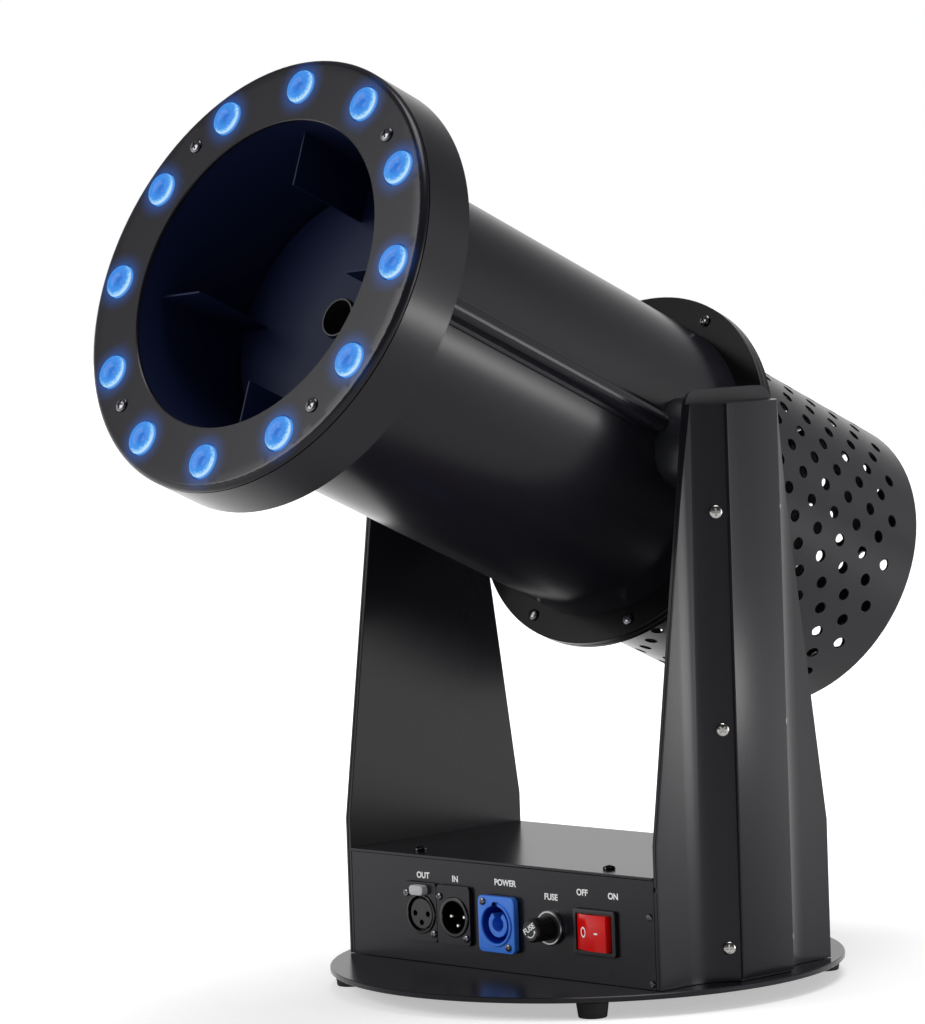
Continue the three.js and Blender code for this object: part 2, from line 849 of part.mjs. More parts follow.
function makeTiltMotor() {
  const front = boxHalfWidth;
  const half = motorSize / 2;
  const outline = [
    [half - motorCorner, -half],
    [half, -half + motorCorner],
    [half, half - motorCorner],
    [half - motorCorner, half],
    [-half + motorCorner, half],
    [-half, half - motorCorner],
    [-half, -half + motorCorner],
    [-half + motorCorner, -half],
  ];
  const can = solidOf(moved(drawnOut(outline, motorLength, 'x'), front - motorLength, 0, 0));
  const root = front - motorCorner;
  const pilotEnd = front + motorPilotHeight;
  const pilot = solidOf(rodShape(motorPilotRadius, root, pilotEnd, middleSides, 'x'));
  const shaftEnd = beltCentre() + beltWidth / 2 + pulleyFlange;
  const shaft = solidOf(rodShape(motorShaftRadius, root, shaftEnd, screwSides, 'x'));
  const motor = mirrored(geometryOf(joined(can, pilot, shaft)));
  const mesh = addPiece(blower, 'tilt_motor', motor, 'darkSteel');
  mesh.position.z = motorAxis;
}

// Muzzle

function ringPlaces(count, radius, first) {
  const places = [];
  for (let k = 0; k < count; k += 1) {
    places.push(onCircle(radius, first + k * 2 * Math.PI / count));
  }
  return places;
}

const ledPlaces = ringPlaces(ledCount, ledCircleRadius, firstLedAngle);
const ringScrewPlaces = ringPlaces(ringScrewCount, ringScrewRadius, Math.PI / ringScrewCount);

function rodsAt(places, radius, from, to, sides) {
  return places.map(([x, y]) => solidOf(moved(rodShape(radius, from, to, sides, 'z'), x, y, 0)));
}

function makeMuzzleHousing() {
  const edge = muzzleEdgeRadius;
  const rounded = [];
  for (let k = 0; k <= cornerSteps; k += 1) {
    const [across, along] = onCircle(edge, k * Math.PI / 2 / cornerSteps);
    rounded.push([muzzleRadius - edge + across, muzzleFront - edge + along]);
  }
  const shell = turned([
    [muzzleRadius, muzzleRear],
    ...rounded,
    [tubeBore, muzzleFront],
    [tubeBore, faceInner],
    [muzzleRadius - muzzleWall, faceInner],
    [muzzleRadius - muzzleWall, muzzleRear],
  ], wideSides, 'z');
  const holeEnd = muzzleFront + overrun;
  const tools = [
    ...rodsAt(ledPlaces, lensRadius + gap, faceInner - overrun, holeEnd, lensSides),
    ...rodsAt(ringScrewPlaces, screwHoleRadius, faceInner - overrun, holeEnd, screwSides),
  ];
  addPiece(head, 'muzzle_housing', cut(solidOf(shell), ...tools), 'blackPaint');
}

function makeMuzzleBackPlate() {
  const outer = muzzleRadius - muzzleWall - gap;
  const plateFront = muzzleRear + muzzleWall;
  const plate = solidOf(tubeShape(outer, barrelRadius + gap, muzzleRear, plateFront, wideSides, 'z'));
  const postRoot = plateFront - muzzleWall / 2;
  const posts = rodsAt(ringScrewPlaces, postRadius, postRoot, boardBack - gap, screwSides);
  const boreEnd = boardBack - 2 * screwBite;
  const bores = rodsAt(ringScrewPlaces, screwHoleRadius, boreEnd, boardBack + overrun, screwSides);
  addPiece(head, 'muzzle_back_plate', cut(joined(plate, ...posts), ...bores), 'blackPaint');
}

function makeLedBoard() {
  const board = solidOf(tubeShape(lensRingOuter, lensRingInner, boardBack, boardFront, wideSides, 'z'));
  const span = [-emitterSize / 2, emitterSize / 2];
  const emitters = ledPlaces.map(([x, y]) => (
    solidOf(moved(blockShape(span, span, [boardBack + gap, boardFront + emitterHeight]), x, y, 0))
  ));
  const holeEnd = boardFront + overrun;
  const holes = rodsAt(ringScrewPlaces, screwHoleRadius, boardBack - overrun, holeEnd, screwSides);
  addPiece(head, 'led_board', cut(joined(board, ...emitters), ...holes), 'board');
}

function makeLensRing() {
  const back = lensFaceBack - lensPlate;
  const plate = solidOf(tubeShape(lensRingOuter, lensRingInner, back, lensFaceBack, wideSides, 'z'));
  const crown = muzzleFront + lensRise;
  const lenses = ledPlaces.map(([x, y]) => solidOf(moved(turned([
    [0, back + gap],
    [lensRadius, back + gap],
    [lensRadius, muzzleFront + gap],
    [lensRadius - lensEdge, crown],
    [0, crown],
  ], lensSides, 'z'), x, y, 0)));
  const holeEnd = lensFaceBack + overrun;
  const holes = rodsAt(ringScrewPlaces, screwHoleRadius, boardFront - overrun, holeEnd, screwSides);
  const collars = rodsAt(ringScrewPlaces, postRadius, boardFront + gap, back + gap, screwSides);
  addPiece(head, 'lens_ring', cut(joined(plate, ...lenses, ...collars), ...holes), 'lens');
}

function makeRingScrews() {
  const shank = muzzleFront - boardBack + screwBite;
  ringScrewPlaces.forEach(([x, y], k) => {
    const mesh = addPiece(head, `muzzle_screw_${k + 1}`, screwShape(shank), 'steel');
    mesh.position.set(x, y, muzzleFront);
  });
}

// Barrel

function makeBarrelTube() {
  const tube = tubeShape(barrelRadius, tubeBore, tubeRear, faceInner - gap, wideSides, 'z');
  addPiece(head, 'barrel_tube', tube, 'blackPaint');
}

function flangeHoles() {
  const places = ringPlaces(flangeScrewCount, flangeScrewRadius, Math.PI / flangeScrewCount);
  return rodsAt(places, flangeScrewHole, -flangeBack - overrun, flangeFront + overrun, screwSides);
}

function makeFlanges() {
  const bore = barrelRadius + gap;
  const front = solidOf(tubeShape(flangeRadius, bore, tubeRear, flangeFront, wideSides, 'z'));
  const rear = solidOf(tubeShape(flangeRadius, bore, -flangeBack, cageFront, wideSides, 'z'));
  addPiece(head, 'barrel_flange', cut(front, ...flangeHoles()), 'blackGloss');
  addPiece(head, 'cage_flange', cut(rear, ...flangeHoles()), 'blackGloss');
}

function makeCableCover() {
  const base = barrelRadius - overrun;
  const lip = barrelRadius + gap + ductLip;
  const end = muzzleRear - gap;
  const section = (halfWidth, lipHalfWidth, top, lipTop) => {
    const points = [[base, -lipHalfWidth], [lipTop, -lipHalfWidth]];
    const steps = 2 * bendSteps;
    for (let k = 0; k <= steps; k += 1) {
      const angle = -Math.PI / 2 + Math.PI * k / steps;
      points.push([lipTop + (top - lipTop) * Math.cos(angle), halfWidth * Math.sin(angle)]);
    }
    points.push([lipTop, lipHalfWidth], [base, lipHalfWidth]);
    return points;
  };
  const top = barrelRadius + ductRise;
  const outer = drawnOut(section(ductHalfWidth, ductLipHalfWidth, top, lip), end - ductStart, 'z');
  const innerHalf = ductHalfWidth - ductWall;
  const innerSection = section(innerHalf, innerHalf, top - ductWall, lip);
  const inner = drawnOut(innerSection, end - ductStart + 2 * overrun, 'z');
  const bore = rodShape(barrelRadius + gap, ductStart - overrun, end + overrun, wideSides, 'z');
  const shell = cut(
    solidOf(moved(outer, 0, 0, ductStart)),
    solidOf(moved(inner, 0, 0, ductStart - overrun)),
  );
  const turnedShell = cut(solidOf(turnedAbout(geometryOf(shell), ductAngle)), solidOf(bore));
  addPiece(head, 'cable_cover', turnedShell, 'blackPaint');
}

function makeBaffle() {
  const disc = solidOf(rodShape(baffleRadius, baffleFront - baffleSheet, baffleFront, wideSides, 'z'));
  const vanes = [];
  for (let k = 0; k < vaneCount; k += 1) {
    const vane = blockShape(
      [vaneInner, tubeBore - gap],
      [-vaneSheet / 2, vaneSheet / 2],
      [baffleFront - baffleSheet, vaneFront],
    );
    vanes.push(solidOf(turnedAbout(vane, firstVaneAngle + k * 2 * Math.PI / vaneCount)));
  }
  const holeEnd = baffleFront + overrun;
  const hole = rodShape(nozzleRadius + gap, baffleFront - overrun, holeEnd, middleSides, 'z');
  addPiece(head, 'confetti_baffle', cut(joined(disc, ...vanes), solidOf(hole)), 'blackPaint');
}

function makeNozzle() {
  const front = baffleFront + nozzleFront;
  const bore = nozzleRadius - nozzleWall;
  const nozzle = tubeShape(nozzleRadius, bore, front - nozzleLength, front, middleSides, 'z');
  addPiece(head, 'air_nozzle', nozzle, 'zinc');
}

// Fan

function makeFanSpider() {
  const back = tubeRear + gap;
  const front = back + spiderDepth;
  const cupOuter = motorCupRadius + motorCupWall;
  const cup = solidOf(tubeShape(cupOuter, motorCupRadius, back, front, middleSides, 'z'));
  const arms = [];
  for (let k = 0; k < vaneCount; k += 1) {
    const arm = blockShape(
      [cupOuter - motorCupWall / 2, tubeBore - 2 * gap],
      [-spiderArmWidth / 2, spiderArmWidth / 2],
      [back, front],
    );
    arms.push(solidOf(turnedAbout(arm, Math.PI / 4 + k * 2 * Math.PI / vaneCount)));
  }
  addPiece(head, 'fan_spider', joined(cup, ...arms), 'darkSteel');
}

function fanMotorFace() {
  return tubeRear + spiderDepth + fanMotorFront;
}

function makeFanMotor() {
  const front = fanMotorFace();
  const back = front - fanMotorLength;
  const radius = motorCupRadius - gap;
  const motor = turned([
    [0, back],
    [radius - fanMotorEdge, back],
    [radius, back + fanMotorEdge],
    [radius, front - fanMotorEdge],
    [radius - fanMotorEdge, front],
    [fanShaftRadius, front],
    [fanShaftRadius, front + fanShaftReach],
    [0, front + fanShaftReach],
  ], middleSides, 'z');
  addPiece(head, 'fan_motor', motor, 'darkSteel');
}

function makeImpeller() {
  const back = fanMotorFace() + overrun;
  const front = back + hubLength;
  const hub = solidOf(turned([
    [fanShaftRadius + gap, back],
    [hubRadius, back],
    [hubRadius, front - hubEdge],
    [hubRadius - hubEdge, front],
    [fanShaftRadius + gap, front],
  ], middleSides, 'z'));
  const blades = [];
  for (let k = 0; k < bladeCount; k += 1) {
    const blade = blockShape(
      [hubRadius - overrun, bladeRadius],
      [-bladeChord / 2, bladeChord / 2],
      [-bladeSheet / 2, bladeSheet / 2],
    );
    blade.rotateX(bladeAngle);
    blade.translate(0, 0, (back + front) / 2);
    blades.push(solidOf(turnedAbout(blade, k * 2 * Math.PI / bladeCount)));
  }
  addPiece(head, 'impeller', joined(hub, ...blades), 'blackPlastic');
}

// Intake cage

function makeIntakeCage() {
  const columnStep = 2 * Math.PI / holeColumns;
  const firstColumn = columnStep / 2;
  const firstEdge = firstColumn + columnStep / 2 + Math.PI / 2;
  const inner = barrelRadius - cageWall;
  const shell = solidOf(tubeShape(barrelRadius, inner, cageRear, cageFront, holeColumns, 'z', firstEdge));
  const tools = [];
  for (let column = 0; column < holeColumns; column += 1) {
    const even = column % 2 === 0;
    const rows = even ? holeRowsEven : holeRowsOdd;
    const first = cageRear + (even ? holeMarginEven : holeMarginOdd);
    for (let row = 0; row < rows; row += 1) {
      const tool = rodShape(holeRadius, inner - overrun, barrelRadius + overrun, holeSides, 'x');
      tool.translate(0, 0, first + row * holeRowPitch);
      tools.push(solidOf(turnedAbout(tool, firstColumn + column * columnStep)));
    }
  }
  addPiece(head, 'intake_cage', cut(shell, wasm.Manifold.union(tools)), 'blackPaint');
}

function makeCageCap() {
  const radius = (barrelRadius - cageWall) * Math.cos(Math.PI / holeColumns) - gap;
  const disc = solidOf(rodShape(radius, cageRear, cageRear + capSheet, holeColumns, 'z'));
  const tools = [];
  for (let ring = 0; ring <= capHoleRings; ring += 1) {
    const count = Math.max(1, ring * capHolesPerRing);
    for (let k = 0; k < count; k += 1) {
      const [x, y] = onCircle(ring * capHoleRingPitch, (k + ring / 2) * 2 * Math.PI / count);
      const tool = rodShape(holeRadius, cageRear - overrun, cageRear + capSheet + overrun, holeSides, 'z');
      tools.push(solidOf(moved(tool, x, y, 0)));
    }
  }
  addPiece(head, 'cage_end_cap', cut(disc, wasm.Manifold.union(tools)), 'blackPaint');
}

// Connectors, in the front panel's own frame: X across, Z up, the face at Y = 0 and the front towards -Y

function onPanel(name, shape, finish, x, z) {
  const mesh = addPiece(blower, name, shape, finish);
  mesh.position.set(x, panelFront - gap, z);
  return mesh;
}

function socketFlange() {
  const left = -socketWidth / 2 - socketShift;
  const outline = roundedOutline([left, left + socketWidth], [-socketBelow, socketAbove], socketCorner);
  return solidOf(drawnOut(outline, socketPlate, 'front', cornerSteps));
}

function socketBody() {
  const rim = rodShape(socketRimRadius, 0, socketPlate + socketRimRise, middleSides, '-y');
  const back = rodShape(socketBodyRadius, -socketBodyDepth, socketPlate, middleSides, '-y');
  return joined(socketFlange(), solidOf(rim), solidOf(back));
}

function contactShapes(radius, from, to) {
  return pinAngles.map((angle) => {
    const [x, z] = onCircle(pinCircleRadius, angle);
    return solidOf(moved(rodShape(radius, from, to, screwSides, '-y'), x, 0, z));
  });
}

function makeOutSocket() {
  const face = socketPlate + socketRimRise;
  const groove = tubeShape(
    socketCavityRadius + socketGroove,
    socketCavityRadius,
    face - socketGrooveDepth,
    face + overrun,
    middleSides,
    '-y',
  );
  const slot = blockShape(
    [-latchWidth / 2 - gap, latchWidth / 2 + gap],
    [-face - overrun, latchInside + latchBack],
    [latchRise - latchHeight / 2 - gap, latchRise + latchHeight / 2 + gap],
  );
  const body = cut(
    socketBody(),
    solidOf(groove),
    solidOf(slot),
    ...contactShapes(contactRadius, face - contactDepth, face + overrun),
  );
  onPanel('out_socket', body, 'blackPlastic', outSocketPlace, connectorLevel);
  const latch = blockShape(
    [-latchWidth / 2, latchWidth / 2],
    [-latchProud, latchInside],
    [latchRise - latchHeight / 2, latchRise + latchHeight / 2],
  );
  onPanel('socket_latch', latch, 'greyPlastic', outSocketPlace, connectorLevel);
}

function makeInSocket() {
  const face = socketPlate + socketRimRise;
  const floor = face - socketCavityDepth;
  const cavity = rodShape(socketCavityRadius, floor, face + overrun, middleSides, '-y');
  const pins = contactShapes(pinRadius, floor - pinRadius, face - pinTip);
  const body = joined(cut(socketBody(), solidOf(cavity)), ...pins);
  onPanel('in_socket', body, 'blackPlastic', inSocketPlace, connectorLevel);
}

function makePowerInlet() {
  const halfWidth = inletWidth / 2;
  const halfHeight = inletHeight / 2;
  const outline = roundedOutline([-halfWidth, halfWidth], [-halfHeight, halfHeight], inletCorner);
  const plate = solidOf(drawnOut(outline, inletPlate, 'front', cornerSteps));
  const back = solidOf(rodShape(inletBodyRadius, -inletBodyDepth, inletPlate / 2, middleSides, '-y'));
  const floor = inletPlate - inletRecessDepth;
  const recess = solidOf(rodShape(inletRecessRadius, floor, inletPlate + overrun, middleSides, '-y'));
  const key = solidOf(blockShape(
    [-inletKeyWidth / 2, inletKeyWidth / 2],
    [-inletPlate - overrun, -floor],
    [0, inletRecessRadius + inletKeyDepth],
  ));
  const coreFace = inletPlate - inletCoreDrop;
  const core = solidOf(rodShape(inletCoreRadius, floor - inletCoreDrop, coreFace, smallSides, '-y'));
  const body = joined(cut(joined(plate, back), recess, key), core);
  onPanel('power_inlet', body, 'bluePlastic', inletPlace, connectorLevel - inletDrop);
}

function makeFuseHolder() {
  const holder = turned([
    [fuseBoreRadius, fuseRimHeight],
    [fuseBoreRadius, -fuseBodyDepth + fuseBoreFloor],
    [0, -fuseBodyDepth + fuseBoreFloor],
    [0, -fuseBodyDepth],
    [fuseBodyRadius, -fuseBodyDepth],
    [fuseBodyRadius, 0],
    [fuseRimRadius, 0],
    [fuseRimRadius, fuseRimHeight],
  ], middleSides, '-y');
  onPanel('fuse_holder', holder, 'blackPlastic', fusePlace, connectorLevel);
  const seat = fuseRimHeight + gap;
  const spigotEnd = seat - fuseSpigotLength;
  const cap = turned([
    [0, spigotEnd + fuseGrip],
    [fuseRadius + gap, spigotEnd + fuseGrip],
    [fuseRadius + gap, spigotEnd],
    [fuseSpigotRadius, spigotEnd],
    [fuseSpigotRadius, seat],
    [fuseCapRadius, seat],
    [fuseCapRadius, fuseCapProud - fuseCapEdge],
    [fuseCapRadius - fuseCapEdge, fuseCapProud],
    [0, fuseCapProud],
  ], middleSides, '-y');
  onPanel('fuse_cap', cap, 'blackPlastic', fusePlace, connectorLevel);
  const fuseEnd = spigotEnd + fuseGrip - gap;
  const fuse = rodShape(fuseRadius, fuseEnd - fuseLength, fuseEnd, smallSides, '-y');
  onPanel('fuse', fuse, 'glass', fusePlace, connectorLevel);
}

function makeSwitch() {
  const bezelOutline = roundedOutline(
    [-bezelWidth / 2, bezelWidth / 2],
    [-bezelHeight / 2, bezelHeight / 2],
    bezelCorner,
  );
  const bezel = solidOf(drawnOut(bezelOutline, bezelRise, 'front', cornerSteps));
  const back = solidOf(blockShape(
    [-switchBodyWidth / 2, switchBodyWidth / 2],
    [-bezelRise / 2, switchBodyDepth],
    [-switchBodyHeight / 2, switchBodyHeight / 2],
  ));
  const cavity = solidOf(blockShape(
    [-switchOpeningWidth / 2, switchOpeningWidth / 2],
    [-bezelRise - overrun, switchCavityDepth],
    [-switchOpeningHeight / 2, switchOpeningHeight / 2],
  ));
  const pinHole = rodShape(pivotRadius + gap, -switchBodyHeight, switchBodyHeight, smallSides, 'z');
  const sockets = solidOf(moved(pinHole, 0, rockerPivotDepth, 0));
  const body = cut(joined(bezel, back), cavity, sockets);
  onPanel('switch_body', body, 'blackPlastic', switchPlace, connectorLevel);
  makeRocker();
}

// The rocker about its own pivot, its ridge towards the front and its pins up and down
function makeRocker() {
  const ridge = -rockerRise - rockerPivotDepth;
  const edge = ridge + rockerHalfWidth * Math.tan(rockerTilt);
  const skirt = rockerSkirt - rockerPivotDepth;
  const keel = rockerKeelDepth - rockerPivotDepth;
  const profile = [
    [-rockerHalfWidth, edge],
    [0, ridge],
    [rockerHalfWidth, edge],
    [rockerHalfWidth, skirt],
    [rockerKeelHalfWidth, keel],
    [-rockerKeelHalfWidth, keel],
    [-rockerHalfWidth, skirt],
  ];
  const half = rockerHeight / 2;
  const body = solidOf(moved(drawnOut(profile, rockerHeight, 'z'), 0, 0, -half));
  const pins = solidOf(rodShape(pivotRadius, -half - pivotReach, half + pivotReach, smallSides, 'z'));
  const mesh = addPiece(blower, 'rocker', joined(body, pins), 'redPlastic');
  mesh.position.set(switchPlace, panelFront - gap + rockerPivotDepth, connectorLevel);
  mesh.rotation.z = -rockerTilt;
}

// Electronics

function makePowerSupply() {
  const [width, depth, height] = supplySize;
  const [x, y] = supplyPlace;
  const floor = boxFloor + boxSheet + gap;
  const outline = [
    [-width / 2, 0],
    [width / 2, 0],
    [width / 2, height - supplyEdge],
    [width / 2 - supplyEdge, height],
    [-width / 2 + supplyEdge, height],
    [-width / 2, height - supplyEdge],
  ];
  const can = moved(drawnOut(outline, depth, 'front'), x, y + depth / 2, floor);
  addPiece(blower, 'power_supply', can, 'zinc');
}

function makeControlBoard() {
  const [width, depth] = boardSize;
  const [x, y] = boardPlace;
  const floor = boxFloor + boxSheet + gap;
  const under = floor + boardLift;
  const top = under + boardThickness;
  const sheet = blockShape([x - width / 2, x + width / 2], [y - depth / 2, y + depth / 2], [under, top]);
  const parts = [solidOf(sheet)];
  for (const sx of [-1, 1]) {
    for (const sy of [-1, 1]) {
      const post = rodShape(standoffRadius, floor, top - gap, screwSides, 'z');
      const across = sx * (width / 2 - standoffInset);
      const along = sy * (depth / 2 - standoffInset);
      parts.push(solidOf(moved(post, x + across, y + along, 0)));
    }
  }
  const onBoard = (size, shareX, shareY) => {
    const [w, d, h] = size;
    const [cx, cy] = [x + shareX * width, y + shareY * depth];
    const block = blockShape([cx - w / 2, cx + w / 2], [cy - d / 2, cy + d / 2], [top - gap, top + h]);
    parts.push(solidOf(block));
  };
  onBoard(chipSize, ...chipShares);
  onBoard(terminalSize, ...rightTerminalShares);
  onBoard(terminalSize, ...leftTerminalShares);
  addPiece(blower, 'control_board', joined(...parts), 'greenBoard');
}

makeBaseDisc();
makeFeet();
makeBaseTray();
makeFrontPanel();
makeTopCover();
makeArmPlate(1, 'right_arm_plate');
makeArmPlate(-1, 'left_arm_plate');
makeArmCover(1, 'right_arm_cover');
makeArmCover(-1, 'left_arm_cover');
makeArmStrip(1, 'right_arm_strip');
makeArmStrip(-1, 'left_arm_strip');
makeArmScrews(1, 'right_arm_screw');
makeArmScrews(-1, 'left_arm_screw');
makeBearing(1, 'right_bearing');
makeBearing(-1, 'left_bearing');
makeTrunnion(1, 'right_trunnion', armOuterFace + cableShaftReach, cableBoreRadius);
makeTrunnion(-1, 'left_trunnion', beltCentre() + beltWidth / 2 + pulleyFlange, 0);
makePulley(head, 'tilt_pulley', tiltTeeth, tiltShaftRadius, 0);
makePulley(blower, 'motor_pulley', motorTeeth, motorShaftRadius, motorAxis);
makeBelt();
makeTiltMotor();
makeMuzzleHousing();
makeMuzzleBackPlate();
makeLedBoard();
makeLensRing();
makeRingScrews();
makeBarrelTube();
makeFlanges();
makeCableCover();
makeBaffle();
makeNozzle();
makeFanSpider();
makeFanMotor();
makeImpeller();
makeIntakeCage();
makeCageCap();
makeOutSocket();
makeInSocket();
makePowerInlet();
makeFuseHolder();
makeSwitch();
makePowerSupply();
makeControlBoard();

export default blower;
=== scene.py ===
"""Confetti blower: dresses the CAD frame of a lit barrel in a tilting yoke with real surfaces."""

import json
from math import atan2, cos, pi, radians, sin, tan

import bmesh
import bpy
from mathutils import Matrix, Vector


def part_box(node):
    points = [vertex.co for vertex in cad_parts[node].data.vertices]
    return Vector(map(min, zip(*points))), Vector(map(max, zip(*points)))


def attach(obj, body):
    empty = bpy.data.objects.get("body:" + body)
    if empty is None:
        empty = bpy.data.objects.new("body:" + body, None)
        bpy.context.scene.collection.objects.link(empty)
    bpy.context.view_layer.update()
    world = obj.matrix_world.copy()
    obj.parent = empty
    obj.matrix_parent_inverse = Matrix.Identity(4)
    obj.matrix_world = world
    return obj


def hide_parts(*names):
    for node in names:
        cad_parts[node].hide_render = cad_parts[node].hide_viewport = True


bl_info = {
    "name": "Confetti blower",
    "version": (1, 0, 0),
    "blender": (4, 5, 0),
    "location": "View3D > Sidebar > Blower",
    "description": "Builds the visible surfaces of a confetti blower on its CAD frame",
    "category": "Object",
}

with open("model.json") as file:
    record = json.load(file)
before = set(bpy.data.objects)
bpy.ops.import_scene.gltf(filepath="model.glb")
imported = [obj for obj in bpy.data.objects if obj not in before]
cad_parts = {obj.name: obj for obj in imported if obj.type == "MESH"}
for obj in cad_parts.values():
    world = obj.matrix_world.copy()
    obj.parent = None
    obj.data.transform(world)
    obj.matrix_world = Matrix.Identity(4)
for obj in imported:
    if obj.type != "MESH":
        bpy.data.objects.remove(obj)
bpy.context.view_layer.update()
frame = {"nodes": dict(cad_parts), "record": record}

MM = 0.001
# The thinnest gap that keeps two surfaces apart
HAIR = 0.02 * MM
# Points closer than this are one point
WELD = HAIR / 10
# The feet reach this far below the disc's underside, where the frame's heights start
FEET = 9 * MM
# The side of each lens, about the barrel's axis, where a painted highlight makes its rim palest; the same
# side for every lens
PAINTED_HIGHLIGHT_TURN = radians(-40)
TOWARDS_CAMERA = (0.7, -0.7, 0)
SMOOTH_ANGLE = radians(16)
EDGE_ANGLE = radians(30)
WIDE_STEPS = 192
ROUND_STEPS = 128
MIDDLE_STEPS = 64
SMALL_STEPS = 48
TINY_STEPS = 24


def linear(code):
    """A colour written as sRGB hex, as linear red, green, blue and alpha."""
    values = [int(code[i : i + 2], 16) / 255 for i in (1, 3, 5)]
    turned_values = [v / 12.92 if v <= 0.04045 else ((v + 0.055) / 1.055) ** 2.4 for v in values]
    return (*turned_values, 1.0)


def length(name, description, millimetres):
    return bpy.props.FloatProperty(
        name=name,
        description=description,
        default=millimetres * MM,
        min=0.0,
        unit="LENGTH",
        subtype="DISTANCE",
    )


def colour(name, description, code):
    return bpy.props.FloatVectorProperty(
        name=name,
        description=description,
        default=linear(code),
        size=4,
        min=0.0,
        max=1.0,
        subtype="COLOR",
    )


class BlowerSizes(bpy.types.PropertyGroup):
    """Sizes of details that the CAD frame doesn't hold."""

    sheet_edge: length("Sheet edge", "Radius of the coated edge of folded sheet", 0.35)
    hole_radius: length("Hole radius", "Radius of the round holes in the intake cage", 3.5)
    lens_rim: length("Lens rim", "Radius at which a lens turns over to its flat rim", 6.6)
    groove: length("Groove", "Width of the joint line behind the muzzle's face", 0.8)
    legend: length("Legend height", "Height of the printed words on the panel", 3.3)
    screw_head: length("Screw head", "Radius of the pan-head screws", 3.4)
    socket_screw: length("Socket screw head", "Radius of the connectors' small screws", 2.0)


class BlowerColours(bpy.types.PropertyGroup):
    """Colours that a user would change."""

    coat: colour("Powder coat", "Black powder coat of the sheet metal", "#1a191f")
    lacquer: colour("Lacquer", "Smooth black lacquer of the flanges", "#0d0d0f")
    mouth: colour("Mouth", "Coat inside the barrel, in blue light", "#121a38")
    light: colour("Lights", "Blue of the lit lenses", "#4b93ea")
    inlet: colour("Power inlet", "Blue plastic of the power inlet", "#3b80ec")
    rocker: colour("Rocker", "Red plastic of the switch", "#dc0e0e")


def sizes():
    return bpy.context.scene.blower_sizes


def colours():
    return bpy.context.scene.blower_colours


# The frame's own places

joints = {joint["name"]: joint for joint in frame["record"]["behaviour"]["joints"]}
bodies = {node: body for body, nodes in frame["record"]["behaviour"]["bodies"].items() for node in nodes}
pivot = Vector(joints["head_tilt"]["pos_m"])
barrel_axis = Vector(joints["fan_spin"]["axis"])
HEAD = Matrix.Translation(pivot) @ Matrix.Rotation(atan2(-barrel_axis.y, barrel_axis.z), 4, "X")
TO_HEAD = HEAD.inverted()


def head_box(node):
    """Lowest and highest corner of a node in the barrel's own frame, its axis along Z."""
    places = [TO_HEAD @ v.co for v in frame["nodes"][node].data.vertices]
    low = Vector([min(p[i] for p in places) for i in range(3)])
    high = Vector([max(p[i] for p in places) for i in range(3)])
    return low, high


def centre(node):
    low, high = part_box(node)
    return (low + high) / 2


def on_panel(x, z, y):
    """A frame on the front panel: X across, Y up and Z out of the panel."""
    return Matrix.Translation((x, y, z)) @ Matrix.Rotation(pi / 2, 4, "X")


def fitting(low, high):
    """The frame at the back of a panel fitting, its depth, and half its width and height."""
    middle = (low + high) / 2
    return on_panel(middle.x, middle.z, high.y), high.y - low.y, (high.x - low.x) / 2, (high.z - low.z) / 2


# Outlines and profiles


def circle(count, radius, first=0.0):
    """Points spaced evenly on a circle, from a first turn on."""
    turns = [first + 2 * pi * k / count for k in range(count)]
    return [(radius * cos(turn), radius * sin(turn)) for turn in turns]


def rectangle(left, right, low, high):
    """A flat outline, or the profile of a plain ring, or of a rod where left is 0."""
    return [(left, low), (right, low), (right, high), (left, high)]


def eased_ring(inner, outer, low, high, ease):
    """The profile of a ring with eased outer edges, or of a disc where inner is 0."""
    return [
        (inner, low),
        (outer - ease, low),
        (outer, low + ease),
        (outer, high - ease),
        (outer - ease, high),
        (inner, high),
    ]


def arc(centre_point, radius, first, last, steps):
    x, y = centre_point
    turns = [first + (last - first) * k / steps for k in range(steps + 1)]
    return [(x + radius * cos(turn), y + radius * sin(turn)) for turn in turns]


def rounded_box(left, right, bottom, top, radius, steps=6):
    corners = [
        ((right - radius, bottom + radius), -pi / 2),
        ((right - radius, top - radius), 0),
        ((left + radius, top - radius), pi / 2),
        ((left + radius, bottom + radius), pi),
    ]
    return [point for corner, turn in corners for point in arc(corner, radius, turn, turn + pi / 2, steps)]


# Meshes


def plain(name):
    return name.replace(" ", "_")


def new_object(name, data):
    thing = bpy.data.objects.new(name, data)
    bpy.context.scene.collection.objects.link(thing)
    return thing


def piece_of(name, points, faces, place=None):
    mesh = bpy.data.meshes.new(name)
    mesh.from_pydata([tuple(p) for p in points], [], faces)
    if place is not None:
        mesh.transform(place)
    return new_object(plain(name), mesh)


def shaded(piece, angle=SMOOTH_ANGLE, turn_out=True):
    """Merges a piece's doubles, turns its faces out and keeps its edges crisp."""
    mesh = bmesh.new()
    mesh.from_mesh(piece.data)
    bmesh.ops.remove_doubles(mesh, verts=mesh.verts, dist=WELD)
    if turn_out:
        bmesh.ops.recalc_face_normals(mesh, faces=mesh.faces)
    for face in mesh.faces:
        face.smooth = True
    for edge in mesh.edges:
        edge.smooth = len(edge.link_faces) == 2 and edge.calc_face_angle(0) < angle
    mesh.to_mesh(piece.data)
    mesh.free()
    return piece


def evaluated(piece):
    """A new mesh of a piece as its modifiers leave it."""
    bpy.context.view_layer.update()
    graph = bpy.context.evaluated_depsgraph_get()
    return bpy.data.meshes.new_from_object(piece.evaluated_get(graph))


def settled(piece):
    """Applies a piece's modifiers."""
    mesh = evaluated(piece)
    piece.modifiers.clear()
    piece.data = mesh
    return piece


def removed(*pieces):
    for piece in pieces:
        bpy.data.objects.remove(piece)


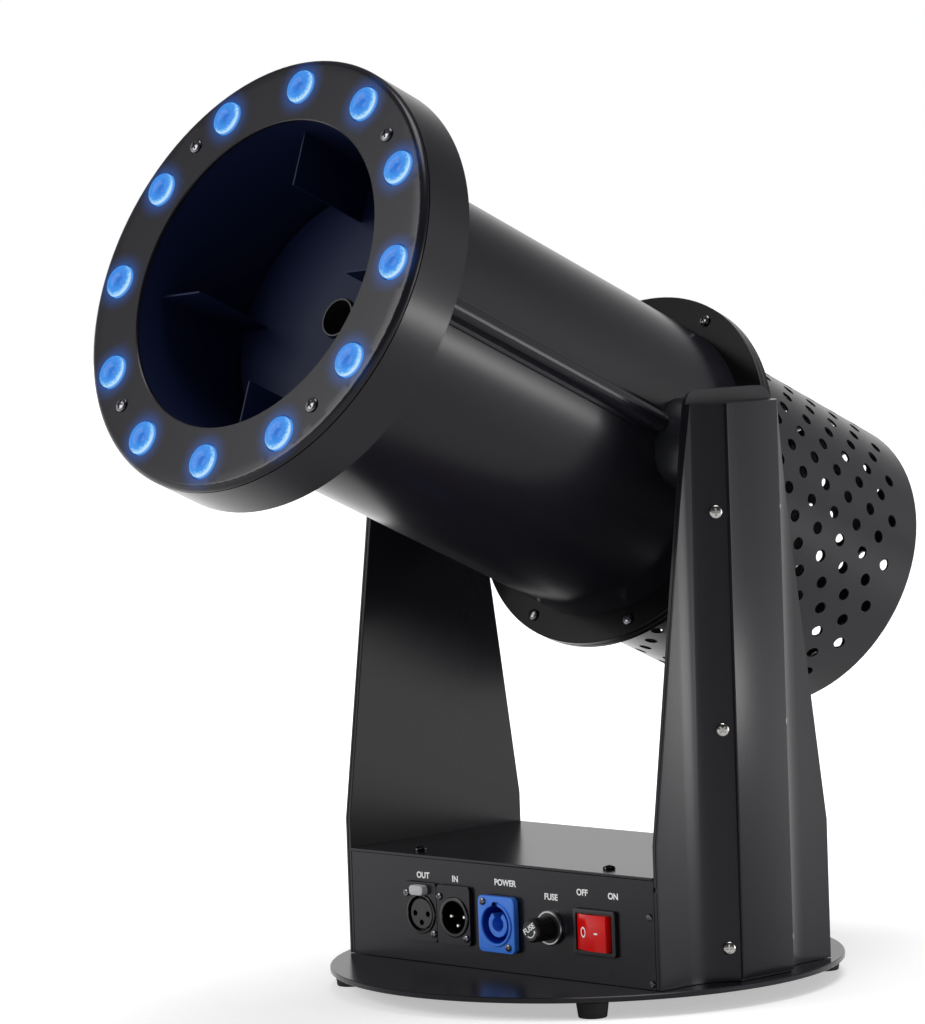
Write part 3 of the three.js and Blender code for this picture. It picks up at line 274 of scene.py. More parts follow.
def rounded(piece, width, steps=2, angle=EDGE_ANGLE):
    bevel = piece.modifiers.new("edge", "BEVEL")
    bevel.width = width
    bevel.segments = steps
    bevel.limit_method = "ANGLE"
    bevel.angle_limit = angle
    bevel.use_clamp_overlap = True
    return settled(piece)


def cut(piece, *cutters):
    for cutter in cutters:
        shaded(cutter)
        knife = piece.modifiers.new("cut", "BOOLEAN")
        knife.operation = "DIFFERENCE"
        knife.solver = "EXACT"
        knife.object = cutter
        settled(piece)
        removed(cutter)
    return piece


def merged(name, *pieces, place=None):
    """One mesh of several pieces that stay separate shells."""
    whole = bmesh.new()
    for piece in pieces:
        whole.from_mesh(piece.data)
    mesh = bpy.data.meshes.new(name)
    whole.to_mesh(mesh)
    whole.free()
    removed(*pieces)
    if place is not None:
        mesh.transform(place)
    return new_object(plain(name), mesh)


def turned(name, profile, steps=ROUND_STEPS, place=None):
    """A closed profile of (radius, height), turned about Z."""
    points = []
    rings = []
    for radius, height in profile:
        count = 1 if radius == 0 else steps
        rings.append([len(points) + k % count for k in range(steps)])
        points += [(x, y, height) for x, y in circle(steps, radius)[:count]]
    faces = []
    for lower, upper in zip(rings, rings[1:] + rings[:1], strict=True):
        for k in range(steps):
            after = (k + 1) % steps
            corners = list(dict.fromkeys([lower[k], lower[after], upper[after], upper[k]]))
            if len(corners) > 2:
                faces.append(corners)
    return shaded(piece_of(name, points, faces, place))


def drawn_out(name, outline, low, high, place=None):
    """A flat outline drawn out along Z."""
    count = len(outline)
    points = [(x, y, low) for x, y in outline] + [(x, y, high) for x, y in outline]
    sides = [[k, (k + 1) % count, count + (k + 1) % count, count + k] for k in range(count)]
    faces = [list(range(count))[::-1], list(range(count, 2 * count)), *sides]
    return shaded(piece_of(name, points, faces, place))


def copy_of(node):
    """A clean copy of a CAD node, its flat faces whole again."""
    mesh = bmesh.new()
    mesh.from_mesh(frame["nodes"][node].data)
    bmesh.ops.remove_doubles(mesh, verts=mesh.verts, dist=WELD)
    bmesh.ops.dissolve_limit(mesh, angle_limit=radians(0.5), verts=mesh.verts, edges=mesh.edges)
    data = bpy.data.meshes.new(node + "_dressed")
    mesh.to_mesh(data)
    mesh.free()
    return new_object(node + "_dressed", data)


def finished(piece, material, *nodes, body=None):
    """Gives a piece its material, hides the nodes that it stands for and lets it ride on their body."""
    piece.data.materials.clear()
    piece.data.materials.append(material)
    if nodes:
        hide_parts(*nodes)
    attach(piece, body or bodies[nodes[0]])


def dressed(material, *nodes, edge=None, angle=SMOOTH_ANGLE):
    """Clean copies of CAD nodes with a coated edge."""
    for node in nodes:
        piece = copy_of(node)
        if edge:
            rounded(piece, edge, angle=max(angle, EDGE_ANGLE))
        finished(shaded(piece, angle, turn_out=False), material, node)


def painted(material, *nodes):
    """CAD nodes that are shown as they are."""
    for node in nodes:
        data = frame["nodes"][node].data
        data.materials.clear()
        data.materials.append(material)


# Node trees


def add_node(tree, kind, sockets=None, **settings):
    """A node of a kind with its settings, each named socket given a value or a link."""
    node = tree.nodes.new(kind)
    for name, value in settings.items():
        setattr(node, name, value)
    for key, value in (sockets or {}).items():
        if isinstance(value, bpy.types.NodeSocket):
            tree.links.new(value, node.inputs[key])
        else:
            node.inputs[key].default_value = value
    return node


def new_tree(name, inputs):
    tree = bpy.data.node_groups.new(name, "GeometryNodeTree")
    for label, kind in inputs.items():
        tree.interface.new_socket(label, in_out="INPUT", socket_type=kind)
    tree.interface.new_socket("Geometry", in_out="OUTPUT", socket_type="NodeSocketGeometry")
    return tree, add_node(tree, "NodeGroupInput").outputs


def close_tree(tree, instances, weld, material):
    """Ends a tree: real geometry, welded, with its material."""
    real = add_node(tree, "GeometryNodeRealizeInstances", {"Geometry": instances})
    welded = add_node(tree, "GeometryNodeMergeByDistance", {"Geometry": real.outputs[0], "Distance": weld})
    coated = {"Geometry": welded.outputs[0], "Material": material}
    coloured = add_node(tree, "GeometryNodeSetMaterial", coated)
    add_node(tree, "NodeGroupOutput", {"Geometry": coloured.outputs[0]})
    return tree


def ring_tree():
    """Copies of a template set round the Z axis."""
    tree, given = new_tree(
        "ring of copies",
        {
            "Template": "NodeSocketObject",
            "Count": "NodeSocketInt",
            "First turn": "NodeSocketFloat",
            "Weld": "NodeSocketFloat",
            "Material": "NodeSocketMaterial",
        },
    )
    points = add_node(tree, "GeometryNodePoints", {"Count": given["Count"]})
    index = add_node(tree, "GeometryNodeInputIndex")
    step = add_node(tree, "ShaderNodeMath", {0: 2 * pi, 1: given["Count"]}, operation="DIVIDE")
    turn = add_node(
        tree,
        "ShaderNodeMath",
        {0: index.outputs[0], 1: step.outputs[0], 2: given["First turn"]},
        operation="MULTIPLY_ADD",
    )
    about = add_node(tree, "FunctionNodeAxisAngleToRotation", {"Axis": (0, 0, 1), "Angle": turn.outputs[0]})
    template = add_node(tree, "GeometryNodeObjectInfo", {"Object": given["Template"]})
    copies = add_node(
        tree,
        "GeometryNodeInstanceOnPoints",
        {"Points": points.outputs[0], "Instance": template.outputs["Geometry"], "Rotation": about.outputs[0]},
    )
    return close_tree(tree, copies.outputs[0], given["Weld"], given["Material"])


def scatter_tree():
    """Copies of a template on points, each facing its point's way and turned by chance about it."""
    tree, given = new_tree(
        "copies on points",
        {
            "Geometry": "NodeSocketGeometry",
            "Template": "NodeSocketObject",
            "Seed": "NodeSocketInt",
            "Weld": "NodeSocketFloat",
            "Material": "NodeSocketMaterial",
        },
    )
    facing = add_node(tree, "GeometryNodeInputNamedAttribute", {"Name": "facing"}, data_type="FLOAT_VECTOR")
    aimed = add_node(tree, "FunctionNodeAlignRotationToVector", {"Vector": facing.outputs[0]}, axis="Z")
    chance = add_node(tree, "FunctionNodeRandomValue", {"Seed": given["Seed"]}, data_type="FLOAT")
    quarter = add_node(tree, "ShaderNodeMath", {0: chance.outputs[1], 1: pi / 2}, operation="MULTIPLY")
    spin = add_node(tree, "FunctionNodeAxisAngleToRotation", {"Axis": (0, 0, 1), "Angle": quarter.outputs[0]})
    both = add_node(
        tree,
        "FunctionNodeRotateRotation",
        {"Rotation": aimed.outputs[0], "Rotate By": spin.outputs[0]},
        rotation_space="LOCAL",
    )
    template = add_node(tree, "GeometryNodeObjectInfo", {"Object": given["Template"]})
    copies = add_node(
        tree,
        "GeometryNodeInstanceOnPoints",
        {"Points": given["Geometry"], "Instance": template.outputs["Geometry"], "Rotation": both.outputs[0]},
    )
    return close_tree(tree, copies.outputs[0], given["Weld"], given["Material"])


def grown(holder, tree, template, values):
    """Runs a tree on a holder and keeps its result as a plain mesh."""
    modifier = holder.modifiers.new("copies", "NODES")
    modifier.node_group = tree
    for item in tree.interface.items_tree:
        if item.in_out == "INPUT" and item.name in values:
            modifier[item.identifier] = values[item.name]
    settled(holder)
    removed(template)
    bpy.data.node_groups.remove(tree)
    return holder


def ring_of(name, template, count, material=None, first_turn=0.0, place=None):
    """Copies of a template set evenly round the Z axis, as one mesh."""
    holder = piece_of(name, [(0, 0, 0)], [])
    values = {
        "Template": template,
        "Count": count,
        "First turn": first_turn,
        "Weld": WELD,
        "Material": material,
    }
    grown(holder, ring_tree(), template, values)
    if place is not None:
        holder.data.transform(place)
    return holder


def copies_on(name, template, places, material, seed):
    """Copies of a template at (point, facing) pairs, as one mesh."""
    holder = piece_of(name, [point for point, _ in places], [])
    facing = holder.data.attributes.new("facing", "FLOAT_VECTOR", "POINT")
    for k, (_, way) in enumerate(places):
        facing.data[k].vector = way
    values = {"Template": template, "Seed": seed, "Weld": 0.0, "Material": material}
    return grown(holder, scatter_tree(), template, values)


# Materials


def surface(name, base, roughness, metallic=0.0, **sockets):
    """A named material: returns it with its tree and its shader."""
    material = bpy.data.materials.new(name)
    material.use_nodes = True
    tree = material.node_tree
    shader = tree.nodes["Principled BSDF"]
    shader.inputs["Base Color"].default_value = base
    shader.inputs["Roughness"].default_value = roughness
    shader.inputs["Metallic"].default_value = metallic
    for key, value in sockets.items():
        shader.inputs[key.replace("_", " ")].default_value = value
    return material, tree, shader


def object_noise(tree, size, detail=2.0):
    """Noise whose grain has a real size, on the piece's own coordinates."""
    place = add_node(tree, "ShaderNodeTexCoord")
    return add_node(
        tree, "ShaderNodeTexNoise", {"Vector": place.outputs["Object"], "Scale": 1 / size, "Detail": detail}
    ).outputs[0]


def grained(tree, shader, size, height, strength):
    """Gives a surface a bump of a real grain size and height."""
    grain = object_noise(tree, size)
    bump = add_node(tree, "ShaderNodeBump", {"Height": grain, "Distance": height, "Strength": strength})
    tree.links.new(bump.outputs[0], shader.inputs["Normal"])


def coat_surface(name):
    """The surface that both powder coats share, as surface() returns it."""
    material, tree, shader = surface(name, colours().coat, 0.24, Specular_IOR_Level=0.3)
    # The real peel is about 0.7 mm; it is drawn at 1.6 mm so that it shows
    grained(tree, shader, 1.6 * MM, 0.02 * MM, 0.25)
    return material, tree, shader


def powder_coat():
    """Polyester powder coat on steel: satin, with a faint orange peel."""
    return coat_surface("satin powder coat")[0]


def black_lacquer():
    """Smooth black lacquer on the turned flanges: deeper and glossier than the coat."""
    return surface("black lacquer", colours().lacquer, 0.22, Specular_IOR_Level=0.16)[0]


def mouth_coat():
    """The same coat inside the barrel, where it takes the blue of the lights."""
    return surface("coat in blue light", colours().mouth, 0.45, Specular_IOR_Level=0.15)[0]


def nickel_plate():
    """Bright nickel plate on steel screws: sharp, warm grey reflections."""
    material, tree, shader = surface("nickel plated steel", linear("#c9c7c3"), 0.22, 1.0)
    # The plate's real unevenness is finer; it is drawn at 0.8 mm so that it shows
    grained(tree, shader, 0.8 * MM, 0.01 * MM, 0.2)
    return material


def black_oxide():
    """Black oxide on the cover's dome screws and the panel's rivets: dark with hard glints."""
    return surface("black oxide steel", linear("#58585c"), 0.16, 1.0)[0]


def foot_rubber():
    """Moulded rubber: dead matt with a fine tooth."""
    material, tree, shader = surface("moulded black rubber", linear("#151515"), 0.8)
    # The real tooth is finer; it is drawn at 0.9 mm so that it shows
    grained(tree, shader, 0.9 * MM, 0.05 * MM, 0.4)
    return material


def glass_filled_nylon():
    """Glass-filled nylon of the fittings: black, slightly dull, with a fine texture."""
    material, tree, shader = surface("black glass-filled nylon", linear("#151517"), 0.38)
    # The real texture is finer; it is drawn at 0.6 mm so that it shows
    grained(tree, shader, 0.6 * MM, 0.02 * MM, 0.3)
    return material


def polished_nylon():
    """Moulded black nylon of the sockets' round collars: a hard gloss."""
    return surface("polished black nylon", linear("#0e0e10"), 0.14)[0]


def dark_steel():
    """Dark chromated steel of the small screws: dull grey metal with sharp glints."""
    material, tree, shader = surface("dark chromated steel", linear("#77777b"), 0.24, 1.0)
    # The real unevenness is finer; it is drawn at 0.8 mm so that it shows
    grained(tree, shader, 0.8 * MM, 0.01 * MM, 0.2)
    return material


def dark_pit():
    """Unlit nylon at the bottom of the sockets."""
    return surface("socket floor nylon", linear("#050506"), 0.7, Specular_IOR_Level=0.1)[0]


def grey_nylon():
    """Natural grey nylon of the push tab."""
    return surface("grey nylon", linear("#c4c4c6"), 0.45)[0]


def blue_nylon():
    """Blue glass-filled nylon of the power inlet: strong colour under a soft gloss."""
    material, tree, shader = surface("blue glass-filled nylon", colours().inlet, 0.35)
    # The real texture is finer; it is drawn at 0.6 mm so that it shows
    grained(tree, shader, 0.6 * MM, 0.015 * MM, 0.25)
    return material


def deep_blue_nylon():
    """The same blue nylon down in the recess, where little light falls."""
    return surface("deep blue nylon", linear("#1238b4"), 0.45, Specular_IOR_Level=0.2)[0]


def red_polycarbonate():
    """Tinted red polycarbonate of the rocker: clear gloss over deep red."""
    return surface("red polycarbonate", colours().rocker, 0.2, Specular_IOR_Level=0.3)[0]


def print_ink():
    """White screen-print ink: flat and opaque."""
    return surface("white print ink", linear("#ffffff"), 0.5)[0]


def tin_plate():
    """Tin-plated ring of the fuse holder: a soft pale shine."""
    return surface("tin plated ring", linear("#b4b4b6"), 0.3, 1.0)[0]


def silver_plate():
    """Silver-plated contact pins: bright and faintly warm."""
    return surface("silver plated pins", linear("#e6e2da"), 0.15, 1.0)[0]


def machined_aluminium():
    """Turned aluminium of the pulleys and the power supply's case: pale with soft glints."""
    return surface("machined aluminium", linear("#b4b6ba"), 0.32, 1.0)[0]


def anodised_black():
    """Black anodised aluminium of the shafts, the nozzle and the fan's mount: even and dark."""
    return surface("black anodised aluminium", linear("#222327"), 0.35)[0]


def bronze():
    """Sintered bronze of the bearings: a dull brown gold."""
    return surface("sintered bronze", linear("#9c7a3c"), 0.4, 1.0)[0]


def circuit_board():
    """Green solder mask over fibreglass: dark green under a soft gloss."""
    return surface("green solder mask", linear("#1d5a34"), 0.35)[0]


def light_board():
    """White solder mask of the ring of lights: plain and bright."""
    return surface("white solder mask", linear("#e8e8e4"), 0.4)[0]


def fan_plastic():
    """Glass-filled black plastic of the fan's blades: slightly dull."""
    return surface("black fan plastic", linear("#18181a"), 0.45)[0]


def belt_rubber():
    """Neoprene of the toothed belt: matt black."""
    return surface("black neoprene", linear("#1b1b1b"), 0.75)[0]


def fuse_glass():
    """Clear glass of the fuse's tube: sharp reflections over what is behind it."""
    return surface("fuse glass", linear("#dfe6e8"), 0.05, Transmission_Weight=0.8)[0]


def lit_lens():
    """Clear moulded acrylic over a blue light: mottled facets, pale to one side from a painted highlight, and
    a darker eye.
    """
    material, tree, shader = surface("lit acrylic lens", linear("#0a2448"), 0.15, Specular_IOR_Level=0.12)
    where = add_node(tree, "ShaderNodeAttribute", attribute_name="lens share").outputs["Fac"]
    # The painted highlight: the same side of every lens is drawn paler
    side = add_node(tree, "ShaderNodeAttribute", attribute_name="painted highlight share").outputs["Fac"]
    lean = add_node(tree, "ShaderNodeMath", {0: side, 1: 0.3, 2: where}, operation="MULTIPLY_ADD")
    facet = 1.3 * MM
    mottle = object_noise(tree, facet, 3.0)
    shift = add_node(tree, "ShaderNodeMath", {0: mottle, 1: 0.7, 2: -0.5}, operation="MULTIPLY_ADD")
    share = add_node(tree, "ShaderNodeMath", {0: lean.outputs[0], 1: shift.outputs[0]}, operation="ADD")
    ramp = add_node(tree, "ShaderNodeValToRGB", {"Fac": share.outputs[0]})
    stops = [(0.0, "#2f74d0"), (0.35, "#3f8ae4"), (0.64, "#4a98ec"), (0.84, "#8ecbf9"), (1.0, "#c2e6ff")]
    ramp.color_ramp.elements[0].color = linear(stops[0][1])
    ramp.color_ramp.elements[1].color = linear(stops[-1][1])
    for position, code in stops[1:-1]:
        ramp.color_ramp.elements.new(position).color = linear(code)
    rim = add_node(tree, "ShaderNodeMapRange", {"Value": where, "From Min": 0.97, "From Max": 1.0})
    body = add_node(
        tree,
        "ShaderNodeMix",
        {"Factor": rim.outputs[0], 6: ramp.outputs[0], 7: colours().light},
        data_type="RGBA",
    )
    tree.links.new(body.outputs[2], shader.inputs["Emission Color"])
    shader.inputs["Emission Strength"].default_value = 0.92
    return material


def haloed_coat():
    """The powder coat of the muzzle's face, with the blue glow that the lights throw on it."""
    material, tree, shader = coat_surface("satin powder coat by the lights")
    glow = add_node(tree, "ShaderNodeAttribute", attribute_name="glow share")
    strength = add_node(tree, "ShaderNodeMath", {0: glow.outputs["Fac"], 1: 0.34}, operation="MULTIPLY")
    shader.inputs["Emission Color"].default_value = linear("#1c6cd8")
    tree.links.new(strength.outputs[0], shader.inputs["Emission Strength"])
    return material


finishes = {}


def finish(make):
    """Each material is made once."""
    if make.__name__ not in finishes:
        finishes[make.__name__] = make()
    return finishes[make.__name__]


# Fasteners


def pan_head(radius, height, shank, shank_radius, recess=0.62):
    """A pan-head screw with a cross recess, its seat at the origin and its head along Z."""
    edge = height * 0.42
    seat = radius * 0.94
    turns = [pi / 2 * k / 8 for k in range(8)]
    crown = [(radius * cos(turn), edge + (height - edge) * sin(turn)) for turn in turns]
    profile = [
        (0, -shank),
        (shank_radius, -shank),
        (shank_radius, 0),
        (seat, 0),
        *crown,
        (0, height),
    ]
    screw = turned("screw", profile, 32)
    arm = radius * recess
    half = radius * 0.13
    deep = height * 0.45
    cross = []
    for turn in (0, pi / 2):
        bar = rectangle(-arm, arm, -half, half)
        cross.append(drawn_out("slot", bar, deep, height * 2, Matrix.Rotation(turn, 4, "Z")))
    return shaded(cut(screw, *cross))


def moved(places, matrix):
    turn = matrix.to_3x3()
    return [(matrix @ Vector(point), turn @ Vector(way)) for point, way in places]


def ring_places(count, radius, height, first, way=(0, 0, 1)):
    """Places evenly spaced round the barrel's axis, all facing one way."""
    return moved([((x, y, height), way) for x, y in circle(count, radius, first)], HEAD)


def fastened(name, template, places, make, seed, *nodes, body=None):
    """Copies of a fastener at places, in one finish."""
    copies = copies_on(name, template, places, finish(make), seed)
    finished(shaded(copies), finish(make), *nodes, body=body)


# Barrel sizes, read from the frame in the barrel's own axes

muzzle_low, muzzle_high = head_box("muzzle_housing")
tube_low, tube_high = head_box("barrel_tube")
flange_high = head_box("barrel_flange")[1]
cage_flange_low = head_box("cage_flange")[0]
cage_low, cage_high = head_box("intake_cage")
baffle_low, baffle_high = head_box("confetti_baffle")
nozzle_low, nozzle_high = head_box("air_nozzle")
muzzle_radius = muzzle_high.x
tube_radius = tube_high.x
flange_radius = flange_high.x
nozzle_radius = nozzle_high.x
tube_wall = 1.5 * MM
gap = 0.3 * MM
led_count = 12
led_circle = 100.7 * MM
led_turn = radians(1.7)
lens_radius = 8.8 * MM
lens_rise = 1.4 * MM
muzzle_screw_circle = 100.4 * MM
flange_screw_circle = 92 * MM
cage_columns = 42
cage_pitch = 19.7 * MM
cage_first = 32 * MM
cage_rows = 7
hole_steps = 24
led_middles = [Vector(point) for point in circle(led_count, led_circle, led_turn)]


class BLOWER_OT_muzzle(bpy.types.Operator):
    """Muzzle ring with its rounded face, joint line, light openings and back plate"""

    bl_idname = "blower.muzzle"
    bl_label = "Muzzle"

    def execute(self, context):
        front = muzzle_high.z
        rear = muzzle_low.z
        # A little less than the frame's radius keeps the rounder ring inside the frame's box
        outer = muzzle_radius - 0.15 * MM
        bore = tube_radius - tube_wall
        wall = 2 * MM
        edge = 3.5 * MM
        ease = 0.5 * MM
        line = front - edge - sizes().groove
        profile = [
            (outer, rear),
            (outer, line),
            (outer - sizes().groove, line),
            (outer - sizes().groove, line + sizes().groove),
            *arc((outer - edge, front - edge), edge, 0, pi / 2, 8),
            (bore + ease, front),
            (bore, front - ease),
            (bore, front - wall),
            (outer - wall, front - wall),
            (outer - wall, rear),
        ]
        shell = turned("muzzle housing", profile)
        flare = 0.4 * MM
        opening = lens_radius + gap
        bit = [
            (0, front - 2 * wall),
            (opening, front - 2 * wall),
            (opening, front - flare),
            (opening + 2 * flare, front + flare),
            (0, front + flare),
        ]
        at_light = Matrix.Rotation(led_turn, 4, "Z") @ Matrix.Translation((led_circle, 0, 0))
        openings = ring_of("openings", turned("opening", bit, SMALL_STEPS, at_light), led_count)
        at_screw = Matrix.Translation((muzzle_screw_circle, 0, 0))
        pocket_radius = 4.1 * MM
        pocket_depth = 0.3 * MM
        pocket = rectangle(0, pocket_radius, front - pocket_depth, front + flare)
        seat = turned("pocket", pocket, SMALL_STEPS, at_screw)
        cut(shell, openings, ring_of("pockets", seat, 4, first_turn=pi / 4))
        shell.data.transform(HEAD)
        self.spread_glow(shell)
        finished(shaded(shell), finish(haloed_coat), "muzzle_housing")
        back = rear + wall
        plate = turned("plate", rectangle(tube_radius + gap, outer - wall - gap, rear, back))
        post_radius = 4 * MM
        post = turned("post", rectangle(0, post_radius, back, front - 4 * wall), TINY_STEPS, at_screw)
        posts = ring_of("posts", post, 4, first_turn=pi / 4)
        whole = merged("muzzle back plate", plate, posts, place=HEAD)
        finished(shaded(whole), finish(powder_coat), "muzzle_back_plate")
        return {"FINISHED"}

    def spread_glow(self, shell):
        """Writes how much of the lights' glow each point of the face gets."""

        def on_face(point, depth=MM):
            return (TO_HEAD @ point).z > muzzle_high.z - depth

        divide = bmesh.new()
        divide.from_mesh(shell.data)
        front_faces = [face for face in divide.faces if on_face(face.calc_center_median())]
        bmesh.ops.triangulate(divide, faces=front_faces)
        longest = 5 * MM
        long_edges = [
            edge
            for edge in divide.edges
            if edge.calc_length() > longest and all(on_face(corner.co) for corner in edge.verts)
        ]
        bmesh.ops.subdivide_edges(divide, edges=long_edges, cuts=5, use_grid_fill=True)
        bmesh.ops.triangulate(divide, faces=[face for face in divide.faces if len(face.verts) > 4])
        divide.to_mesh(shell.data)
        divide.free()
        glow = shell.data.attributes.new("glow share", "FLOAT", "POINT")
        reach = 9 * MM
        for k, vertex in enumerate(shell.data.vertices):
            local = (TO_HEAD @ vertex.co).to_2d()
            near = min((local - middle).length for middle in led_middles) - lens_radius
            lit = on_face(vertex.co, 2 * MM)
            glow.data[k].value = max(0.0, 1 - max(near, 0) / reach) ** 2 if lit else 0.0


class BLOWER_OT_lights(bpy.types.Operator):
    """Ring of domed lenses, lit blue, and the board behind them"""

    bl_idname = "blower.lights"
    bl_label = "Lights"

    def execute(self, context):
        front = muzzle_high.z
        skirt = 4.2 * MM
        shoulder = sizes().lens_rim
        crown = front + lens_rise
        profile = [
            (0, front - skirt),
            (lens_radius, front - skirt),
            (lens_radius, front + 0.3 * MM),
            *arc((shoulder, front + 0.1 * MM), lens_radius - shoulder, pi / 8, pi / 2, 5)[:-1],
            (shoulder, crown),
            # A shallow dish in the middle of the lens
            (0.62 * shoulder, crown - 0.15 * MM),
            (0.4 * shoulder, crown - 0.55 * MM),
            (0.2 * shoulder, crown - 0.5 * MM),
            (0, crown - 0.3 * MM),
        ]
        lens = turned("lens", [(r, min(z, crown)) for r, z in profile], 40)
        lens.data.transform(Matrix.Rotation(led_turn, 4, "Z") @ Matrix.Translation((led_circle, 0, 0)))
        ring = ring_of("lenses", lens, led_count, finish(lit_lens), place=HEAD)
        self.spread_share(ring)
        finished(ring, finish(lit_lens), "lens_ring")
        painted(finish(light_board), "led_board")
        return {"FINISHED"}

    def spread_share(self, ring):
        """Writes how far out each point lies on its lens, and how far towards the side of its painted
        highlight.
        """
        # The way of the painted highlight, the same for every lens
        palest = Vector((cos(PAINTED_HIGHLIGHT_TURN), sin(PAINTED_HIGHLIGHT_TURN)))
        share = ring.data.attributes.new("lens share", "FLOAT", "POINT")
        pale = ring.data.attributes.new("painted highlight share", "FLOAT", "POINT")
        for k, vertex in enumerate(ring.data.vertices):
            local = (TO_HEAD @ vertex.co).to_2d()
            offset = min((local - middle for middle in led_middles), key=lambda step: step.length)
            share.data[k].value = min(1.0, offset.length / lens_radius)
            pale.data[k].value = offset.dot(palest) / lens_radius


class BLOWER_OT_barrel(bpy.types.Operator):
    """Barrel tube, its two flanges and the cover of its cable"""

    bl_idname = "blower.barrel"
    bl_label = "Barrel"

    def execute(self, context):
        inner = tube_radius - tube_wall
        profile = rectangle(inner, tube_radius, tube_low.z, tube_high.z)
        tube = turned("barrel tube", profile, place=HEAD)
        finished(tube, finish(powder_coat), "barrel_tube")
        tube.data.materials.append(finish(mouth_coat))
        middle = tube_radius - tube_wall / 2
        for face in tube.data.polygons:
            if (TO_HEAD @ face.center).to_2d().length < middle:
                face.material_index = 1
        ease = 0.4 * MM
        bore = tube_radius + 0.1 * MM
        for node in ("barrel_flange", "cage_flange"):
            low, high = head_box(node)
            ring = eased_ring(bore, flange_radius, low.z, high.z, ease)
            finished(turned(node.replace("_", " "), ring, place=HEAD), finish(black_lacquer), node)
        dressed(finish(powder_coat), "cable_cover")
        return {"FINISHED"}


class BLOWER_OT_cage(bpy.types.Operator):
    """Perforated intake cage and its end"""

    bl_idname = "blower.cage"
    bl_label = "Intake cage"

    def column(self, middle, first, rows):
        """One column of holes: a list of points and of faces."""
        # A little less than the frame's length keeps the sheet inside the frame's box
        rear = cage_low.z + 0.12 * MM
        front = cage_high.z
        half_angle = pi / cage_columns
        half = cage_pitch / 2
        points = []
        faces = []

        def place(share, height):
            turn = middle + share * half_angle
            points.append((tube_radius * cos(turn), tube_radius * sin(turn), height))
            return len(points) - 1

        def band(low, high):
            corners = [place(share, height) for height in (low, high) for share in (-1, 0, 1)]
            faces.append([corners[0], corners[1], corners[4], corners[3]])
            faces.append([corners[1], corners[2], corners[5], corners[4]])

        for row in range(rows):
            height = first + row * cage_pitch
            shares = [(1, 0), (1, 1), (0, 1), (-1, 1), (-1, 0), (-1, -1), (0, -1), (1, -1)]
            border = [place(across, height + along * half) for across, along in shares]
            rim = []
            for k in range(hole_steps):
                turn = 2 * pi * k / hole_steps
                across = sizes().hole_radius * cos(turn) / (tube_radius * half_angle)
                rim.append(place(across, height + sizes().hole_radius * sin(turn)))
            step = hole_steps // 8
            for k in range(8):
                hole_side = [rim[(step * k + j) % hole_steps] for j in range(step, -1, -1)]
                faces.append([border[k], border[(k + 1) % 8], *hole_side])
        bottom = first - half
        top = first + (rows - 0.5) * cage_pitch
        edges = (rear, self.lowest - half, self.lowest, self.highest, self.highest + half, front)
        stops = sorted({round(value, 7) for value in edges})
        for low, high in zip(stops, stops[1:], strict=False):
            if high <= bottom + HAIR or low >= top - HAIR:
                band(low, min(high, front))
        return points, faces

    def execute(self, context):
        rear = cage_low.z
        self.lowest = rear + cage_first - cage_pitch / 2
        self.highest = self.lowest + (cage_rows - 1) * cage_pitch
        step = 2 * pi / cage_columns
        pair_points = []
        pair_faces = []
        for middle, first, rows in (
            (step / 2, rear + cage_first, cage_rows - 1),
            (1.5 * step, rear + cage_first - cage_pitch / 2, cage_rows),
        ):
            points, faces = self.column(middle, first, rows)
            pair_faces += [[corner + len(pair_points) for corner in face] for face in faces]
            pair_points += points
        pair = piece_of("column pair", pair_points, pair_faces)
        cage = ring_of("intake cage", pair, cage_columns // 2, finish(powder_coat))
        shaded(cage)
        self.face_out(cage)
        wall = cage.modifiers.new("wall", "SOLIDIFY")
        wall.thickness = 1.2 * MM
        wall.offset = -1
        settled(cage)
        cage.data.transform(HEAD)
        finished(shaded(cage, turn_out=False), finish(powder_coat), "intake_cage")
        self.make_end()
        return {"FINISHED"}

    def face_out(self, cage):
        """Turns the open sheet's faces away from the axis."""
        sheet = bmesh.new()
        sheet.from_mesh(cage.data)
        inward = []
        for face in sheet.faces:
            middle = face.calc_center_median()
            if face.normal.dot(Vector((middle.x, middle.y, 0))) < 0:
                inward.append(face)
        bmesh.ops.reverse_faces(sheet, faces=inward)
        sheet.to_mesh(cage.data)
        sheet.free()

    def make_end(self):
        """The round end plate with its rings of holes."""
        low, high = head_box("cage_end_cap")
        # A little less than the frame's radius keeps the rounder plate inside the frame's box
        radius = high.x - 0.3 * MM
        end = turned("cage end", rectangle(0, radius, low.z, high.z))
        drill = rectangle(0, sizes().hole_radius, low.z - MM, high.z + MM)
        ring_pitch = 16 * MM
        drills = [turned("drill", drill, hole_steps)]
        for ring in range(1, 5):
            bit = turned("drill", drill, hole_steps, Matrix.Translation((ring * ring_pitch, 0, 0)))
            drills.append(ring_of("drills", bit, 6 * ring, first_turn=ring * pi / 12))
        cut(end, merged("drills", *drills))
        end.data.transform(HEAD)
        finished(shaded(end), finish(powder_coat), "cage_end_cap")


